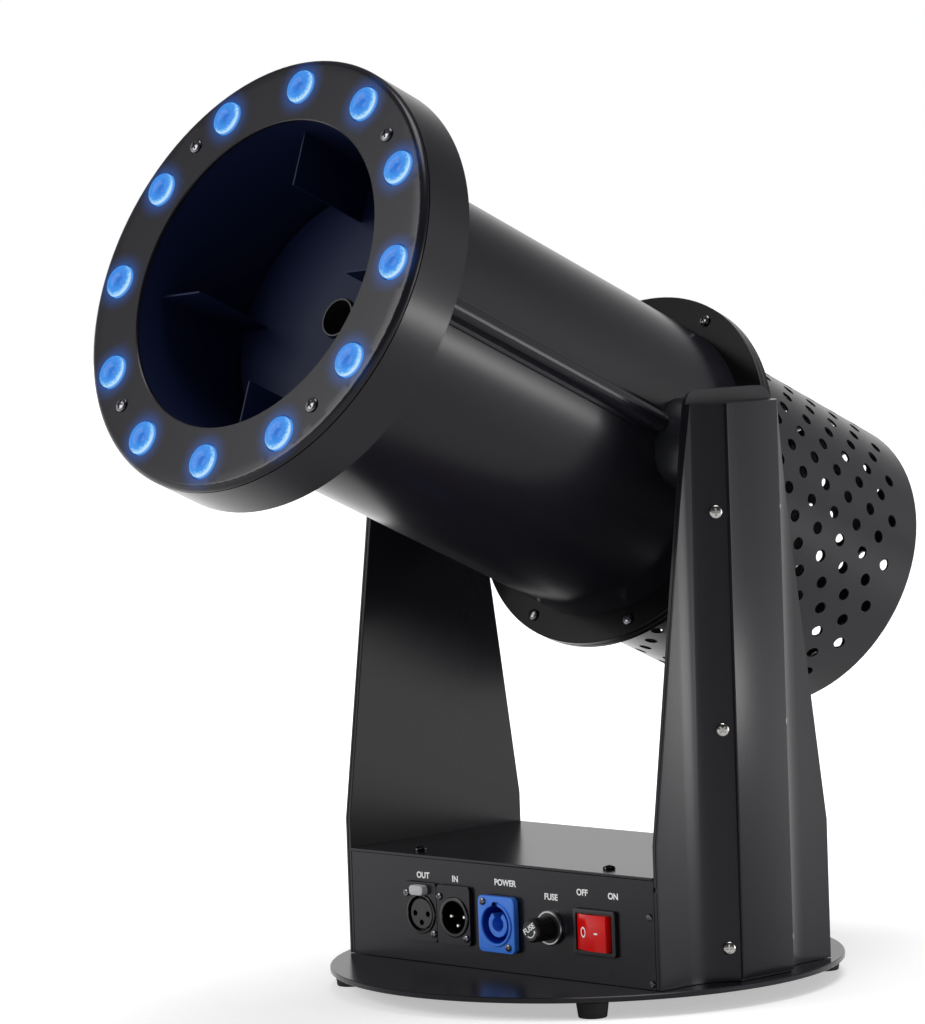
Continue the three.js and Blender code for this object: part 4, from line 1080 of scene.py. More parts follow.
class BLOWER_OT_mouth(bpy.types.Operator):
    """Baffle, vanes and air nozzle inside the mouth"""

    bl_idname = "blower.mouth"
    bl_label = "Mouth"

    def execute(self, context):
        low = baffle_low.z
        sheet = 1.5 * MM
        disc_radius = 70 * MM
        disc = turned("disc", rectangle(nozzle_radius + gap, disc_radius, low, low + sheet))
        vane_foot = 53 * MM
        vane_turn = radians(4.6)
        half = 0.6 * MM
        outline = rectangle(vane_foot, baffle_high.x, -half, half)
        vane = rounded(drawn_out("vane", outline, low, baffle_high.z), 0.25 * MM)
        vanes = ring_of("vanes", vane, 4, first_turn=vane_turn)
        whole = merged("confetti baffle", disc, vanes, place=HEAD)
        finished(shaded(whole), finish(mouth_coat), "confetti_baffle")
        front = nozzle_high.z
        ease = 0.35 * MM
        wall = 1.1 * MM
        profile = [
            (nozzle_radius, nozzle_low.z),
            (nozzle_radius, front - ease),
            (nozzle_radius - ease, front),
            (nozzle_radius - wall, front),
            (nozzle_radius - wall, nozzle_low.z),
        ]
        nozzle = turned("air nozzle", profile, MIDDLE_STEPS, HEAD)
        finished(nozzle, finish(anodised_black), "air_nozzle")
        return {"FINISHED"}


class BLOWER_OT_fan(bpy.types.Operator):
    """Fan behind the barrel: motor, mount and twisted blades"""

    bl_idname = "blower.fan"
    bl_label = "Fan"

    def execute(self, context):
        dressed(finish(anodised_black), "fan_spider", edge=0.4 * MM)
        low, high = head_box("fan_motor")
        radius = high.x
        shaft = 4 * MM
        reach = 24 * MM
        face = high.z - reach
        edge = 3 * MM
        profile = [
            (0, low.z),
            *arc((radius - edge, low.z + edge), edge, -pi / 2, 0, 6),
            *arc((radius - edge, face - edge), edge, 0, pi / 2, 6),
            (shaft, face),
            (shaft, high.z),
            (0, high.z),
        ]
        motor = turned("fan motor", profile, MIDDLE_STEPS, HEAD)
        finished(motor, finish(anodised_black), "fan_motor")
        low, high = head_box("impeller")
        hub = 28 * MM
        tip = 78 * MM
        middle = (low.z + high.z) / 2
        half_hub = 10 * MM
        round_edge = 5 * MM
        bore = 4.3 * MM
        hub_profile = [
            (bore, middle - half_hub),
            (hub, middle - half_hub),
            *arc((hub - round_edge, middle + half_hub - round_edge), round_edge, 0, pi / 2, 6),
            (bore, middle + half_hub),
        ]
        blades = ring_of("blades", self.blade(hub - 2 * MM, tip, middle), 7)
        whole = merged("impeller", turned("hub", hub_profile, MIDDLE_STEPS), blades, place=HEAD)
        finished(shaded(whole), finish(fan_plastic), "impeller")
        return {"FINISHED"}

    def blade(self, inner, outer, middle):
        """A thin blade, steeper at its root than at its tip."""
        rows, steps = 8, 6
        root_pitch = radians(48)
        twist = radians(16)
        chord = 24 * MM
        widening = 2 * MM
        rise = 1.6 * MM
        thickness = 1.6 * MM
        points = []
        for side in (-0.5, 0.5):
            for row in range(rows + 1):
                share = row / rows
                radius = inner + (outer - inner) * share
                pitch = root_pitch - twist * share
                for step in range(steps + 1):
                    off_middle = 2 * step / steps - 1
                    along = off_middle / 2 * (chord + widening * share)
                    camber = rise * (1 - off_middle**2)
                    lift = camber + side * thickness * (1 - abs(off_middle) / 2)
                    across = along * cos(pitch) - lift * sin(pitch)
                    height = middle + along * sin(pitch) + lift * cos(pitch)
                    points.append((radius, across, height))
        width = steps + 1
        layer = (rows + 1) * width
        faces = []
        for base in (0, layer):
            for row in range(rows):
                for step in range(steps):
                    a = base + row * width + step
                    faces.append([a, a + 1, a + width + 1, a + width])
        border = [row * width for row in range(rows + 1)]
        border += [rows * width + step for step in range(1, steps + 1)]
        border += [row * width + steps for row in range(rows - 1, -1, -1)]
        border += [step for step in range(steps - 1, 0, -1)]
        for k, corner in enumerate(border):
            after = border[(k + 1) % len(border)]
            faces.append([corner, after, after + layer, corner + layer])
        return shaded(piece_of("blade", points, faces))


class BLOWER_OT_yoke(bpy.types.Operator):
    """Arms of the yoke, their covers and strips, with the shafts and the belt drive"""

    bl_idname = "blower.yoke"
    bl_label = "Yoke"

    def execute(self, context):
        coat = finish(powder_coat)
        edge = sizes().sheet_edge
        round_angle = radians(36)
        dressed(coat, "left_arm_plate", "right_arm_strip", "left_arm_strip", edge=edge)
        dressed(coat, "right_arm_cover", "left_arm_cover")
        dressed(finish(anodised_black), "right_trunnion", "left_trunnion", edge=edge, angle=round_angle)
        dressed(finish(bronze), "right_bearing", "left_bearing", edge=edge, angle=round_angle)
        dressed(finish(machined_aluminium), "tilt_pulley", "motor_pulley", angle=round_angle)
        plate = copy_of("right_arm_plate")
        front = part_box("right_arm_plate")[0].y
        # A short slot in the plate's front edge, beside the panel
        slot_height = 54.7 * MM
        slot_depth = 0.8 * MM
        slot = rectangle(110 * MM, 118 * MM, -1.2 * MM, 1.2 * MM)
        cut(plate, drawn_out("notch", slot, -slot_depth, 2 * MM, on_panel(0, slot_height, front)))
        rounded(plate, edge)
        finished(shaded(plate, turn_out=False), coat, "right_arm_plate")
        dressed(finish(belt_rubber), "drive_belt")
        dressed(finish(anodised_black), "tilt_motor", edge=edge)
        return {"FINISHED"}


class BLOWER_OT_base(bpy.types.Operator):
    """Base disc, rubber feet and the folded sheets of the box"""

    bl_idname = "blower.base"
    bl_label = "Base"

    def execute(self, context):
        low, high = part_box("base_disc")
        ease = 0.5 * MM
        profile = eased_ring(0, high.x, low.z, high.z, ease)
        finished(turned("base disc", profile, WIDE_STEPS), finish(powder_coat), "base_disc")
        for k in range(4):
            self.make_foot(k + 1)
        dressed(finish(powder_coat), "base_tray", "front_panel", "top_cover", edge=0.25 * MM)
        dressed(finish(machined_aluminium), "power_supply", edge=0.5 * MM)
        painted(finish(circuit_board), "control_board")
        return {"FINISHED"}

    def make_foot(self, number):
        """A rubber foot, narrower below, with a small pit in its sole and a round lower edge."""
        node = f"foot_{number}"
        low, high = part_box(node)
        middle = (low + high) / 2
        top = high.x - middle.x
        bottom = top - MM
        round_edge = 0.8 * MM
        pit = 0.6 * MM
        ease = 0.5 * MM
        profile = [
            (0, low.z + pit),
            (2.6 * MM, low.z + pit),
            (3 * MM, low.z),
            *arc((bottom - round_edge, low.z + round_edge), round_edge, -pi / 2, 0, 6),
            (top, high.z - ease),
            (top - ease, high.z),
            (0, high.z),
        ]
        place = Matrix.Translation((middle.x, middle.y, 0))
        finished(turned(f"foot {number}", profile, SMALL_STEPS, place), finish(foot_rubber), node)


# Places on the front panel, read from the frame

panel_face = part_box("front_panel")[0].y
fuse_place = centre("fuse_holder")
# How far the flanges of the sockets and of the inlet lie behind their foremost rims
socket_setback = 0.8 * MM
inlet_setback = 0.9 * MM
socket_shift = 0.8 * MM
socket_level = centre("out_socket").z - 0.9 * MM
cap_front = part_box("fuse_cap")[0].y
ink_depth = 0.03 * MM
mark_depth = 0.04 * MM


def socket_shell(node, hollow_radius):
    """Makes a socket's coated flange. Returns its collar, in the panel's frame, with its place and depth."""
    low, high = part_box(node)
    middle_x = (low.x + high.x) / 2 + socket_shift
    place = on_panel(middle_x, socket_level, high.y)
    depth = high.y - low.y
    plate_front = depth - socket_setback
    plate_back = plate_front - 2 * MM
    outline = rounded_box(
        low.x - middle_x, high.x - middle_x, low.z - socket_level, high.z - socket_level, 2.5 * MM
    )
    plate = rounded(drawn_out(node + " flange", outline, plate_back, plate_front), 0.15 * MM)
    rim = 10.9 * MM
    bore = rim - 0.2 * MM
    cut(plate, turned("bore", rectangle(0, bore, 0, depth + MM), MIDDLE_STEPS))
    plate.data.transform(place)
    finished(shaded(plate), finish(powder_coat), body="base")
    ease = 0.7 * MM
    neck = rim - 0.3 * MM
    collar_profile = [
        (hollow_radius, 0),
        (neck, 0),
        (neck, plate_back),
        (rim, plate_front - 0.1 * MM),
        *arc((rim - ease, depth - ease), ease, 0, pi / 2, 6),
        (hollow_radius + ease / 2, depth),
        (hollow_radius, depth - ease / 2),
    ]
    return turned("collar", collar_profile, MIDDLE_STEPS), place, depth


class BLOWER_OT_sockets(bpy.types.Operator):
    """Two three-pin signal sockets, one with a push tab"""

    bl_idname = "blower.sockets"
    bl_label = "Signal sockets"

    def execute(self, context):
        self.make_out_socket()
        self.make_in_socket()
        self.make_latch()
        return {"FINISHED"}

    def pin_places(self):
        pin_circle = 4.8 * MM
        return [(pin_circle * cos(turn), pin_circle * sin(turn)) for turn in (pi, 0, -pi / 2)]

    def make_out_socket(self):
        hollow = 9.4 * MM
        collar, place, depth = socket_shell("out_socket", hollow)
        face = depth - 0.9 * MM
        heart_radius = 8.3 * MM
        ease = 0.3 * MM
        heart_profile = [
            (0, 0),
            (heart_radius, 0),
            (heart_radius, face - ease),
            (heart_radius - ease, face),
            (0, face),
        ]
        heart = turned("heart", heart_profile, MIDDLE_STEPS)
        contact = 1.5 * MM
        flared = 1.9 * MM
        contact_depth = 9 * MM
        bore = [
            (0, face - contact_depth),
            (contact, face - contact_depth),
            (contact, face - ease),
            (flared, face + MM),
            (0, face + MM),
        ]
        places = [Matrix.Translation((x, y, 0)) for x, y in self.pin_places()]
        cut(heart, *[turned("contact", bore, TINY_STEPS, spot) for spot in places])
        floor_top = depth - 5 * MM
        floor = turned("floor", rectangle(0, hollow, 0, floor_top), MIDDLE_STEPS)
        cut(floor, turned("bore", rectangle(0, heart_radius + HAIR / 2, -MM, depth), MIDDLE_STEPS))
        whole = merged("out socket", heart, floor, place=place)
        finished(shaded(whole), finish(glass_filled_nylon), "out_socket")
        collar.data.transform(place)
        finished(collar, finish(polished_nylon), body="base")

    def make_in_socket(self):
        hollow = 8.6 * MM
        collar, place, depth = socket_shell("in_socket", hollow)
        floor_top = depth - 12 * MM
        floor = turned("floor", rectangle(0, hollow, 0, floor_top), MIDDLE_STEPS)
        collar.data.transform(place)
        finished(collar, finish(polished_nylon), "in_socket")
        floor.data.transform(place)
        finished(floor, finish(dark_pit), body=bodies["in_socket"])
        tip = depth - 3 * MM
        pin_radius = 1.2 * MM
        pin = [
            (0, floor_top),
            (pin_radius, floor_top),
            (pin_radius, tip - 0.6 * MM),
            (0.7 * MM, tip),
            (0, tip),
        ]
        places = [place @ Matrix.Translation((x, y, 0)) for x, y in self.pin_places()]
        pins = merged("socket pins", *[turned("pin", pin, TINY_STEPS, spot) for spot in places])
        finished(shaded(pins), finish(silver_plate), body=bodies["in_socket"])

    def make_latch(self):
        low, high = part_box("socket_latch")
        place, depth, half_x, half_z = fitting(low, high)
        tab = drawn_out("latch", rounded_box(-half_x, half_x, -half_z, half_z, half_z * 0.8), 0, depth)
        rounded(tab, 0.7 * MM, 3)
        tab.data.transform(place)
        finished(shaded(tab), finish(grey_nylon), "socket_latch")


class BLOWER_OT_inlet(bpy.types.Operator):
    """Locking power inlet of blue nylon"""

    bl_idname = "blower.inlet"
    bl_label = "Power inlet"

    def execute(self, context):
        low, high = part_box("power_inlet")
        place, depth, half_x, half_z = fitting(low, high)
        plate_back = depth - 4.7 * MM
        plate_front = depth - inlet_setback
        outline = rounded_box(-half_x, half_x, -half_z, half_z, 3 * MM, 8)
        plate = rounded(drawn_out("plate", outline, plate_back, plate_front), 0.6 * MM, 3)
        recess = 10 * MM
        floor = depth - 13 * MM
        cut(plate, turned("recess", rectangle(0, recess, 0, depth + MM), MIDDLE_STEPS))
        lip = 11.6 * MM
        ease = 0.4 * MM
        ring_profile = [
            (recess, floor),
            (lip, floor),
            (lip, depth - ease),
            (lip - ease, depth),
            (recess + ease, depth),
            (recess, depth - ease),
        ]
        ring = turned("ring", ring_profile, MIDDLE_STEPS)
        notch = rectangle(-2.2 * MM, 2.2 * MM, 7 * MM, 12 * MM)
        cut(plate, drawn_out("notch", notch, depth - 3 * MM, depth + MM))
        cut(ring, drawn_out("notch", notch, depth - 6 * MM, depth + MM))
        whole = merged("power inlet", plate, ring, place=place)
        finished(shaded(whole), finish(blue_nylon), "power_inlet")
        inside = recess - HAIR
        floor_piece = turned("inlet floor", rectangle(0, inside, 0, floor), MIDDLE_STEPS, place)
        finished(floor_piece, finish(deep_blue_nylon), body="base")
        gap_turn = radians(32)
        inner = 4 * MM
        outer = 6.9 * MM
        start = pi / 2 + gap_turn
        end = pi / 2 - gap_turn + 2 * pi
        outline = arc((0, 0), outer, start, end, 40) + arc((0, 0), inner, end, start, 40)
        core = rounded(drawn_out("core", outline, floor - HAIR, depth - 2.2 * MM), 0.3 * MM)
        core.data.transform(place)
        finished(shaded(core), finish(blue_nylon), body="base")
        lining = rectangle(inside - HAIR, inside, floor, depth - 1.2 * MM)
        wall = turned("recess wall", lining, MIDDLE_STEPS, place)
        finished(wall, finish(deep_blue_nylon), body="base")
        return {"FINISHED"}


class BLOWER_OT_fuse(bpy.types.Operator):
    """Fuse holder, its ring, the ribbed knob and the fuse"""

    bl_idname = "blower.fuse"
    bl_label = "Fuse"

    def execute(self, context):
        low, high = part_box("fuse_holder")
        place, depth, rim, _ = fitting(low, high)
        rim_back = depth - 2.5 * MM
        ring_bore = rim - 1.3 * MM
        bore = 5.2 * MM
        ring_profile = [
            (ring_bore, rim_back),
            (rim, rim_back),
            (rim, depth - 0.8 * MM),
            (rim - 0.4 * MM, depth - 0.4 * MM),
            (ring_bore, depth - 0.4 * MM),
        ]
        ring = turned("fuse ring", ring_profile, MIDDLE_STEPS, place)
        finished(ring, finish(tin_plate), body="base")
        barrel = 7 * MM
        floor = 1.5 * MM
        holder_profile = [
            (0, 0),
            (barrel, 0),
            (barrel, rim_back),
            (ring_bore, rim_back),
            (ring_bore, depth - 0.3 * MM),
            (ring_bore - 0.3 * MM, depth),
            (bore, depth),
            (bore, floor),
            (0, floor),
        ]
        holder = turned("fuse holder", holder_profile, MIDDLE_STEPS, place)
        finished(holder, finish(glass_filled_nylon), "fuse_holder")
        self.make_knob()
        dressed(finish(fuse_glass), "fuse")
        return {"FINISHED"}

    def make_knob(self):
        """The ribbed cap, whose stem reaches into the holder."""
        low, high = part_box("fuse_cap")
        _, depth, radius, _ = fitting(low, high)
        place = on_panel(fuse_place.x, fuse_place.z, high.y)
        spigot = 8 * MM
        ribs = 30
        rib_depth = 0.45 * MM
        outline = []
        for k in range(ribs):
            for share, inset in ((0.0, rib_depth), (0.3, 0.0), (0.55, 0.0), (0.85, rib_depth)):
                turn = 2 * pi * (k + share) / ribs
                outline.append(((radius - inset) * cos(turn), (radius - inset) * sin(turn)))
        grip = drawn_out("grip", outline, spigot, depth - 1.6 * MM)
        cap_back = depth - 1.7 * MM
        cap_radius = radius - 0.3 * MM
        cap_profile = [
            (0, cap_back),
            (cap_radius, cap_back),
            (cap_radius, depth - 0.9 * MM),
            (cap_radius - 0.9 * MM, depth),
            (0, depth),
        ]
        cap = turned("cap", cap_profile, MIDDLE_STEPS)
        inner = 2.9 * MM
        outer = 4.8 * MM
        bottom = 5 * MM
        top = spigot + MM
        stem_profile = [(0, bottom), (inner, bottom), (inner, 0), (outer, 0), (outer, top), (0, top)]
        stem = turned("stem", stem_profile, SMALL_STEPS)
        whole = merged("fuse knob", grip, cap, stem, place=place)
        finished(shaded(whole), finish(glass_filled_nylon), "fuse_cap")


class BLOWER_OT_switch(bpy.types.Operator):
    """Rocker switch with its bezel"""

    bl_idname = "blower.switch"
    bl_label = "Switch"

    def execute(self, context):
        low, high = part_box("switch_body")
        place, depth, half_x, half_z = fitting(low, high)
        outline = rounded_box(-half_x, half_x, -half_z, half_z, 1.6 * MM)
        bezel = rounded(drawn_out("bezel", outline, depth - 2 * MM, depth), 0.6 * MM, 3)
        case = rounded_box(-13.7 * MM, 13.7 * MM, -11 * MM, 11 * MM, 0.3 * MM)
        body = drawn_out("body", case, 0, depth - 1.9 * MM)
        window = rounded_box(-12.9 * MM, 12.9 * MM, -9.7 * MM, 9.7 * MM, 0.6 * MM)
        for part in (bezel, body):
            cut(part, drawn_out("window", window, 8 * MM, depth + MM))
        whole = merged("switch body", bezel, body, place=place)
        finished(shaded(whole), finish(glass_filled_nylon), "switch_body")
        rocker = rounded(copy_of("rocker"), 0.7 * MM, 3)
        finished(shaded(rocker, turn_out=False), finish(red_polycarbonate), "rocker")
        return {"FINISHED"}


class BLOWER_OT_screws(bpy.types.Operator):
    """Screws of the arms, muzzle, flanges, cover and connectors"""

    bl_idname = "blower.screws"
    bl_label = "Screws"

    def execute(self, context):
        radius = sizes().screw_head
        height = 2.1 * MM
        shank = 1.6 * MM
        mirror = Matrix.Diagonal((1, -1, 1, 1))
        for side in ("right", "left"):
            nodes = [f"{side}_arm_screw_{k + 1}" for k in range(3)]
            places = [self.seat(node) for node in nodes]
            screw = pan_head(radius, height, 5 * MM, shank)
            # The order is front, then rear; the CAD frame has only the front ones
            places += moved(places, mirror)
            fastened(f"{side} arm screws", screw, places, nickel_plate, 5, *nodes)
        sunk = 0.25 * MM
        places = ring_places(4, muzzle_screw_circle, muzzle_high.z - sunk, pi / 4)
        nodes = [f"muzzle_screw_{k + 1}" for k in range(4)]
        screw = pan_head(radius * 1.08, height, 12 * MM, shank)
        fastened("muzzle screws", screw, places, dark_steel, 8, *nodes)
        places = ring_places(8, flange_screw_circle, flange_high.z + HAIR, pi / 8)
        screw = pan_head(radius * 0.94, height, 7 * MM, 1.9 * MM)
        fastened("flange screws", screw, places, dark_steel, 11, body="head")
        places = ring_places(8, flange_screw_circle, cage_flange_low.z - HAIR, pi / 8, (0, 0, -1))
        nut_radius = 3.6 * MM
        nut_height = 2.6 * MM
        nut = rounded(drawn_out("nut", circle(6, nut_radius), 0, nut_height), 0.35 * MM)
        fastened("flange nuts", nut, places, nickel_plate, 12, body="head")
        self.cover_screws()
        self.connector_screws()
        return {"FINISHED"}

    def seat(self, node):
        """Where an arm screw sits and which way it faces."""
        low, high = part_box(node)
        side = 1 if low.x > 0 else -1
        # The head faces halfway between X and Y; its crown is its widest point in both
        head_radius = 3.4 * MM
        crown_share = 0.62
        crown_height = 2.4 * MM
        inwards = (head_radius * crown_share + crown_height) * cos(pi / 4)
        outer_x = high.x if side > 0 else low.x
        seat = Vector((outer_x - side * inwards, low.y + inwards, (low.z + high.z) / 2))
        return seat, Vector((side, -1, 0)).normalized()

    def cover_screws(self):
        nodes = ["cover_screw_1", "cover_screw_2"]
        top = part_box("top_cover")[1].z
        places = [((centre(node).x, centre(node).y, top + HAIR), (0, 0, 1)) for node in nodes]
        dome = pan_head(3.4 * MM, 2.3 * MM, 5 * MM, 1.6 * MM, 0.5)
        fastened("cover screws", dome, places, black_oxide, 2, *nodes)

    def connector_screws(self):
        """The small screws of the fittings and the panel's two rivets."""
        out = Vector((0, -1, 0))
        socket_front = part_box("out_socket")[0].y + socket_setback - HAIR
        inlet_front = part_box("power_inlet")[0].y + inlet_setback - HAIR
        # Millimetres across and above the ground
        spots = [
            (-47.2, 28.3, socket_front),
            (-67.4, 49.2, socket_front),
            (-22.5, 27.7, socket_front),
            (-42.2, 49.0, socket_front),
            (-7.8, 49.4, inlet_front),
            (10.6, 26.0, inlet_front),
        ]
        places = [((x * MM, y, z * MM - FEET), out) for x, z, y in spots]
        head = pan_head(sizes().socket_screw, 1.2 * MM, 3 * MM, 1.2 * MM)
        fastened("connector screws", head, places, dark_steel, 21, body="base")
        rivet_profile = [(0, -MM), (2 * MM, -MM), (2 * MM, 0.3 * MM), (1.5 * MM, 0.8 * MM), (0, MM)]
        rivet = turned("rivet", rivet_profile, 32)
        # Millimetres across and up in the frame
        places = [((x * MM, panel_face - HAIR, z * MM), out) for x, z in ((109, 40.5), (109.8, 6.2))]
        fastened("panel rivets", rivet, places, black_oxide, 3, body="base")


class BLOWER_OT_legends(bpy.types.Operator):
    """Printed words on the panel, the switch and the fuse knob"""

    bl_idname = "blower.legends"
    bl_label = "Legends"

    def word(self, text, size, place, body, bold):
        """A printed word, centred on a place."""
        curve = bpy.data.curves.new(text, "FONT")
        curve.body = text
        # A capital is 0.72 of the letters' full size
        curve.size = size / 0.72
        curve.align_x = "CENTER"
        curve.align_y = "CENTER"
        curve.extrude = ink_depth
        curve.offset = bold
        holder = new_object(text, curve)
        mesh = evaluated(holder)
        removed(holder)
        mesh.transform(place)
        finished(new_object("word_" + text, mesh), finish(print_ink), body=body)

    def execute(self, context):
        # Millimetres across and above the ground
        for text, x, z in (
            ("OUT", -56.8, 58.9),
            ("IN", -32.3, 58.6),
            ("POWER", 5.3, 59.3),
            ("FUSE", 38.9, 54.5),
            ("OFF", 61.6, 58.6),
            ("ON", 83.7, 58.2),
        ):
            place = on_panel(x * MM, z * MM - FEET, panel_face - ink_depth)
            self.word(text, sizes().legend, place, "base", 0.14 * MM)
        knob = on_panel(fuse_place.x, fuse_place.z, cap_front - ink_depth)
        knob = knob @ Matrix.Rotation(radians(32), 4, "Z")
        self.word("FUSE", 3.0 * MM, knob @ Matrix.Translation((0, 1.3 * MM, 0)), "fuse_knob", 0.1 * MM)
        self.arrow(knob)
        self.marks()
        return {"FINISHED"}

    def arrow(self, knob):
        """The curved arrow below the knob's word, which shows the way it turns."""
        start, end = radians(205), radians(320)
        outline = arc((0, 0), 3.5 * MM, start, end, 16) + arc((0, 0), 3.0 * MM, end, start, 16)
        shaft = drawn_out("arrow shaft", outline, 0, mark_depth, knob)
        turn = Matrix.Rotation(end, 4, "Z") @ Matrix.Translation((3.25 * MM, 0, 0))
        tip = [(-0.9 * MM, -0.1 * MM), (0.9 * MM, -0.1 * MM), (0, 1.3 * MM)]
        head = drawn_out("arrow head", tip, 0.01 * MM, 0.05 * MM, knob @ turn)
        finished(merged("turn arrow", shaft, head), finish(print_ink), body="fuse_knob")

    def marks(self):
        """The generic round and bar marks of the switch, on the halves of its rocker."""
        hinge = Vector(joints["power_rocker"]["pos_m"])
        lean = radians(7)
        ridge = 10.7 * MM
        ring_outline = rectangle(1.9 * MM, 2.8 * MM, 0, mark_depth)
        bar = rectangle(-1.2 * MM, 1.2 * MM, -0.45 * MM, 0.45 * MM)
        for side, along in ((-1, -5.9 * MM), (1, 4.4 * MM)):
            rest = Matrix.Translation(hinge) @ Matrix.Rotation(-lean, 4, "Z")
            slope = Matrix.Rotation(side * lean, 4, "Z")
            out = -ridge + abs(along) * tan(lean) - ink_depth
            place = rest @ Matrix.Translation((along, out, 0)) @ slope @ Matrix.Rotation(pi / 2, 4, "X")
            if side < 0:
                mark = turned("round mark", ring_outline, 40, place @ Matrix.Diagonal((0.8, 1, 1, 1)))
            else:
                mark = drawn_out("bar mark", bar, 0, mark_depth, place)
            finished(mark, finish(print_ink), body="switch_rocker")


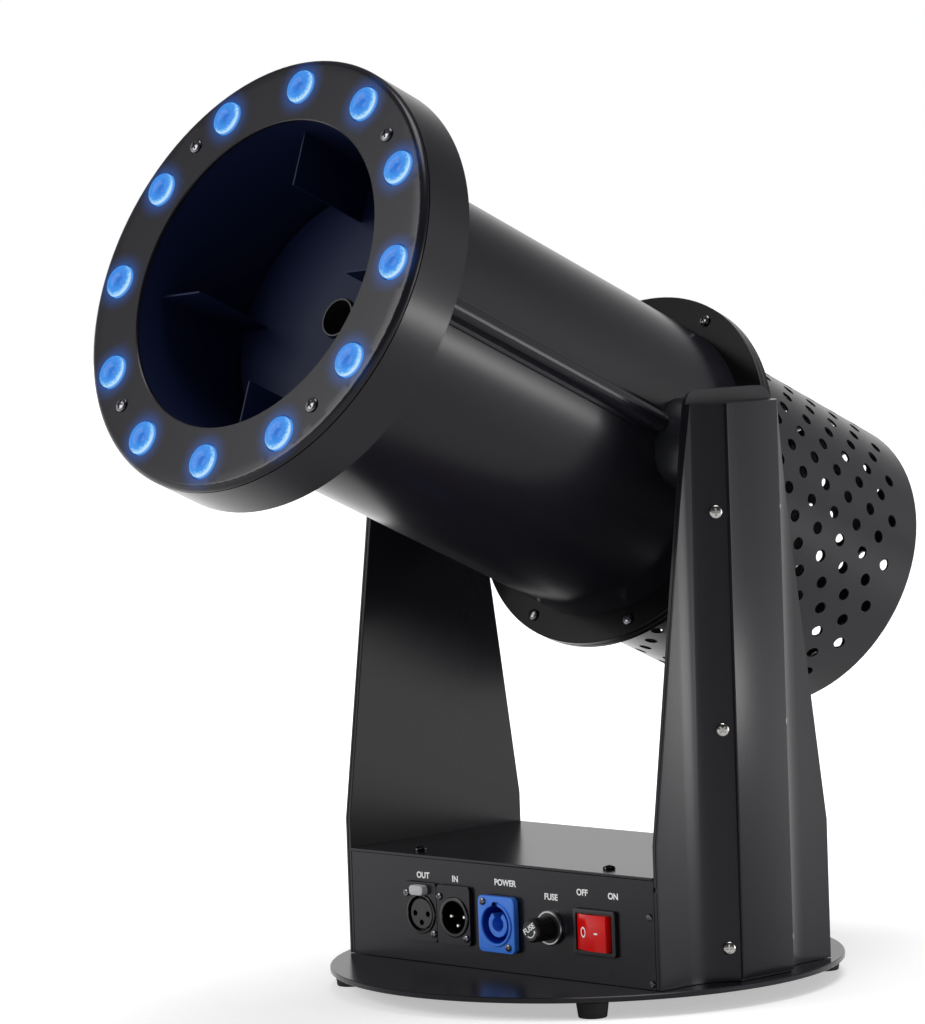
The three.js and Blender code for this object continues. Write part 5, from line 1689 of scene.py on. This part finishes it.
class BLOWER_OT_stage(bpy.types.Operator):
    """Pale floor, soft lamps, white surroundings and the camera"""

    bl_idname = "blower.stage"
    bl_label = "Stage"

    def execute(self, context):
        self.make_floor()
        self.make_world(context)
        # Places and sizes in metres, and energy in watts
        for name, place, target, width, height, energy in (
            ("front lamp", (-1.45, -2.35, 1.5), (0, -0.1, 0.25), 1.6, 1.6, 38),
            ("side lamp", (2.4, 1.0, 0.5), (0, 0, 0.25), 0.9, 0.8, 8),
            ("low strip", (1.05, 0.46, 0.06), (0.1, -0.16, 0.3), 0.5, 0.13, 2.0),
            ("top lamp", (0.3, 0.2, 2.6), (0, 0, 0.2), 1.4, 1.4, 28),
        ):
            self.make_lamp(name, Vector(place), Vector(target), width, height, energy)
        self.make_camera(context)
        context.scene.view_settings.view_transform = "Standard"
        return {"FINISHED"}

    def seen(self, tree, way, light):
        """How bright the surroundings look along a way: white to the camera and through glass.

        Reflections see them white behind the part, and dim towards the camera and overhead.
        All other light sees them at one even level.
        """
        rays = add_node(tree, "ShaderNodeLightPath")
        straight = add_node(
            tree,
            "ShaderNodeMath",
            {0: rays.outputs["Is Camera Ray"], 1: rays.outputs["Is Transmission Ray"]},
            operation="MAXIMUM",
        )
        level = add_node(tree, "ShaderNodeVectorMath", {0: way}, operation="NORMALIZE")
        before = add_node(
            tree,
            "ShaderNodeVectorMath",
            {0: level.outputs[0], 1: TOWARDS_CAMERA},
            operation="DOT_PRODUCT",
        )
        studio = add_node(
            tree,
            "ShaderNodeMapRange",
            {
                "Value": before.outputs["Value"],
                "From Min": -0.3,
                "From Max": 0.7,
                "To Min": 1.0,
                "To Max": 0.08,
            },
            interpolation_type="SMOOTHSTEP",
        )
        height = add_node(tree, "ShaderNodeSeparateXYZ", {"Vector": level.outputs[0]})
        ceiling = add_node(
            tree,
            "ShaderNodeMapRange",
            {"Value": height.outputs["Z"], "From Min": 0.2, "From Max": 0.45, "To Min": 1.0, "To Max": 0.15},
        )
        both = {0: studio.outputs[0], 1: ceiling.outputs[0]}
        dimmed = add_node(tree, "ShaderNodeMath", both, operation="MULTIPLY")
        mirrored = add_node(
            tree,
            "ShaderNodeMapRange",
            {"Value": rays.outputs["Is Glossy Ray"], "To Min": light, "To Max": dimmed.outputs[0]},
        )
        return add_node(
            tree, "ShaderNodeMath", {0: straight.outputs[0], 1: mirrored.outputs[0]}, operation="MAXIMUM"
        ).outputs[0]

    def make_floor(self):
        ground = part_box("foot_1")[0].z - 0.05 * MM
        reach = 12
        points = [(x, y, ground) for x, y in rectangle(-reach, reach, -reach, reach)]
        floor = piece_of("floor", points, [[0, 1, 2, 3]])
        material, tree, shader = surface("pale floor", linear("#e6e6e6"), 0.9, Specular_IOR_Level=0.0)
        place = add_node(tree, "ShaderNodeTexCoord").outputs["Object"]
        away = add_node(tree, "ShaderNodeVectorMath", {0: place}, operation="LENGTH")
        fade = add_node(
            tree,
            "ShaderNodeMapRange",
            {"Value": away.outputs["Value"], "From Min": 0.2, "From Max": 0.9, "To Min": 0.45, "To Max": 1.0},
        )
        shown = {0: self.seen(tree, place, 0.0), 1: fade.outputs[0]}
        lift = add_node(tree, "ShaderNodeMath", shown, operation="MULTIPLY")
        shader.inputs["Emission Color"].default_value = (1, 1, 1, 1)
        tree.links.new(lift.outputs[0], shader.inputs["Emission Strength"])
        material.cycles.emission_sampling = "NONE"
        floor.data.materials.append(material)

    def make_world(self, context):
        world = bpy.data.worlds.new("white studio")
        world.use_nodes = True
        tree = world.node_tree
        back = tree.nodes["Background"]
        back.inputs["Color"].default_value = (1, 1, 1, 1)
        way = add_node(tree, "ShaderNodeTexCoord").outputs["Generated"]
        tree.links.new(self.seen(tree, way, 0.35), back.inputs["Strength"])
        context.scene.world = world

    def make_lamp(self, name, place, target, width, height, energy):
        lamp = bpy.data.lights.new(name, "AREA")
        lamp.shape = "RECTANGLE"
        lamp.size = width
        lamp.size_y = height
        lamp.energy = energy
        holder = new_object(name, lamp)
        holder.visible_camera = False
        turn = (target - place).to_track_quat("-Z", "Y").to_matrix().to_4x4()
        holder.matrix_world = Matrix.Translation(place) @ turn

    def make_camera(self, context):
        place = Vector((1695.1 * MM, -1744.7 * MM, 391.8 * MM - FEET))
        yaw, pitch, roll = radians(45.56), radians(-3.27), radians(1.97)
        photo_height = 1024
        focal_pixels = 4554.2
        forward = Vector((-sin(yaw) * cos(pitch), cos(yaw) * cos(pitch), sin(pitch)))
        right = Vector((cos(yaw), sin(yaw), 0))
        up = right.cross(forward)
        level_right = right * cos(roll) - up * sin(roll)
        level_up = right * sin(roll) + up * cos(roll)
        camera = bpy.data.cameras.new("camera")
        camera.sensor_width = 36
        camera.lens = focal_pixels / photo_height * camera.sensor_width
        camera.clip_end = 50
        holder = new_object("camera", camera)
        turn = Matrix((level_right, level_up, -forward)).transposed().to_4x4()
        holder.matrix_world = Matrix.Translation(place) @ turn
        context.scene.camera = holder


class BLOWER_PT_panel(bpy.types.Panel):
    """Lists the steps that build the blower"""

    bl_label = "Confetti blower"
    bl_idname = "BLOWER_PT_panel"
    bl_space_type = "VIEW_3D"
    bl_region_type = "UI"
    bl_category = "Blower"

    def draw(self, context):
        for group in (context.scene.blower_sizes, context.scene.blower_colours):
            for name in group.__annotations__:
                self.layout.prop(group, name)
        for step in steps:
            self.layout.operator(step.bl_idname)


steps = (
    BLOWER_OT_base,
    BLOWER_OT_yoke,
    BLOWER_OT_barrel,
    BLOWER_OT_cage,
    BLOWER_OT_fan,
    BLOWER_OT_muzzle,
    BLOWER_OT_lights,
    BLOWER_OT_mouth,
    BLOWER_OT_sockets,
    BLOWER_OT_inlet,
    BLOWER_OT_fuse,
    BLOWER_OT_switch,
    BLOWER_OT_screws,
    BLOWER_OT_legends,
    BLOWER_OT_stage,
)
classes = (BlowerSizes, BlowerColours, *steps, BLOWER_PT_panel)


def register():
    for each in classes:
        bpy.utils.register_class(each)
    bpy.types.Scene.blower_sizes = bpy.props.PointerProperty(type=BlowerSizes)
    bpy.types.Scene.blower_colours = bpy.props.PointerProperty(type=BlowerColours)


def unregister():
    del bpy.types.Scene.blower_colours
    del bpy.types.Scene.blower_sizes
    for each in reversed(classes):
        bpy.utils.unregister_class(each)


def main():
    register()
    for step in steps:
        name = step.bl_idname.split(".")[1]
        getattr(bpy.ops.blower, name)()


if __name__ == "__main__":
    main()
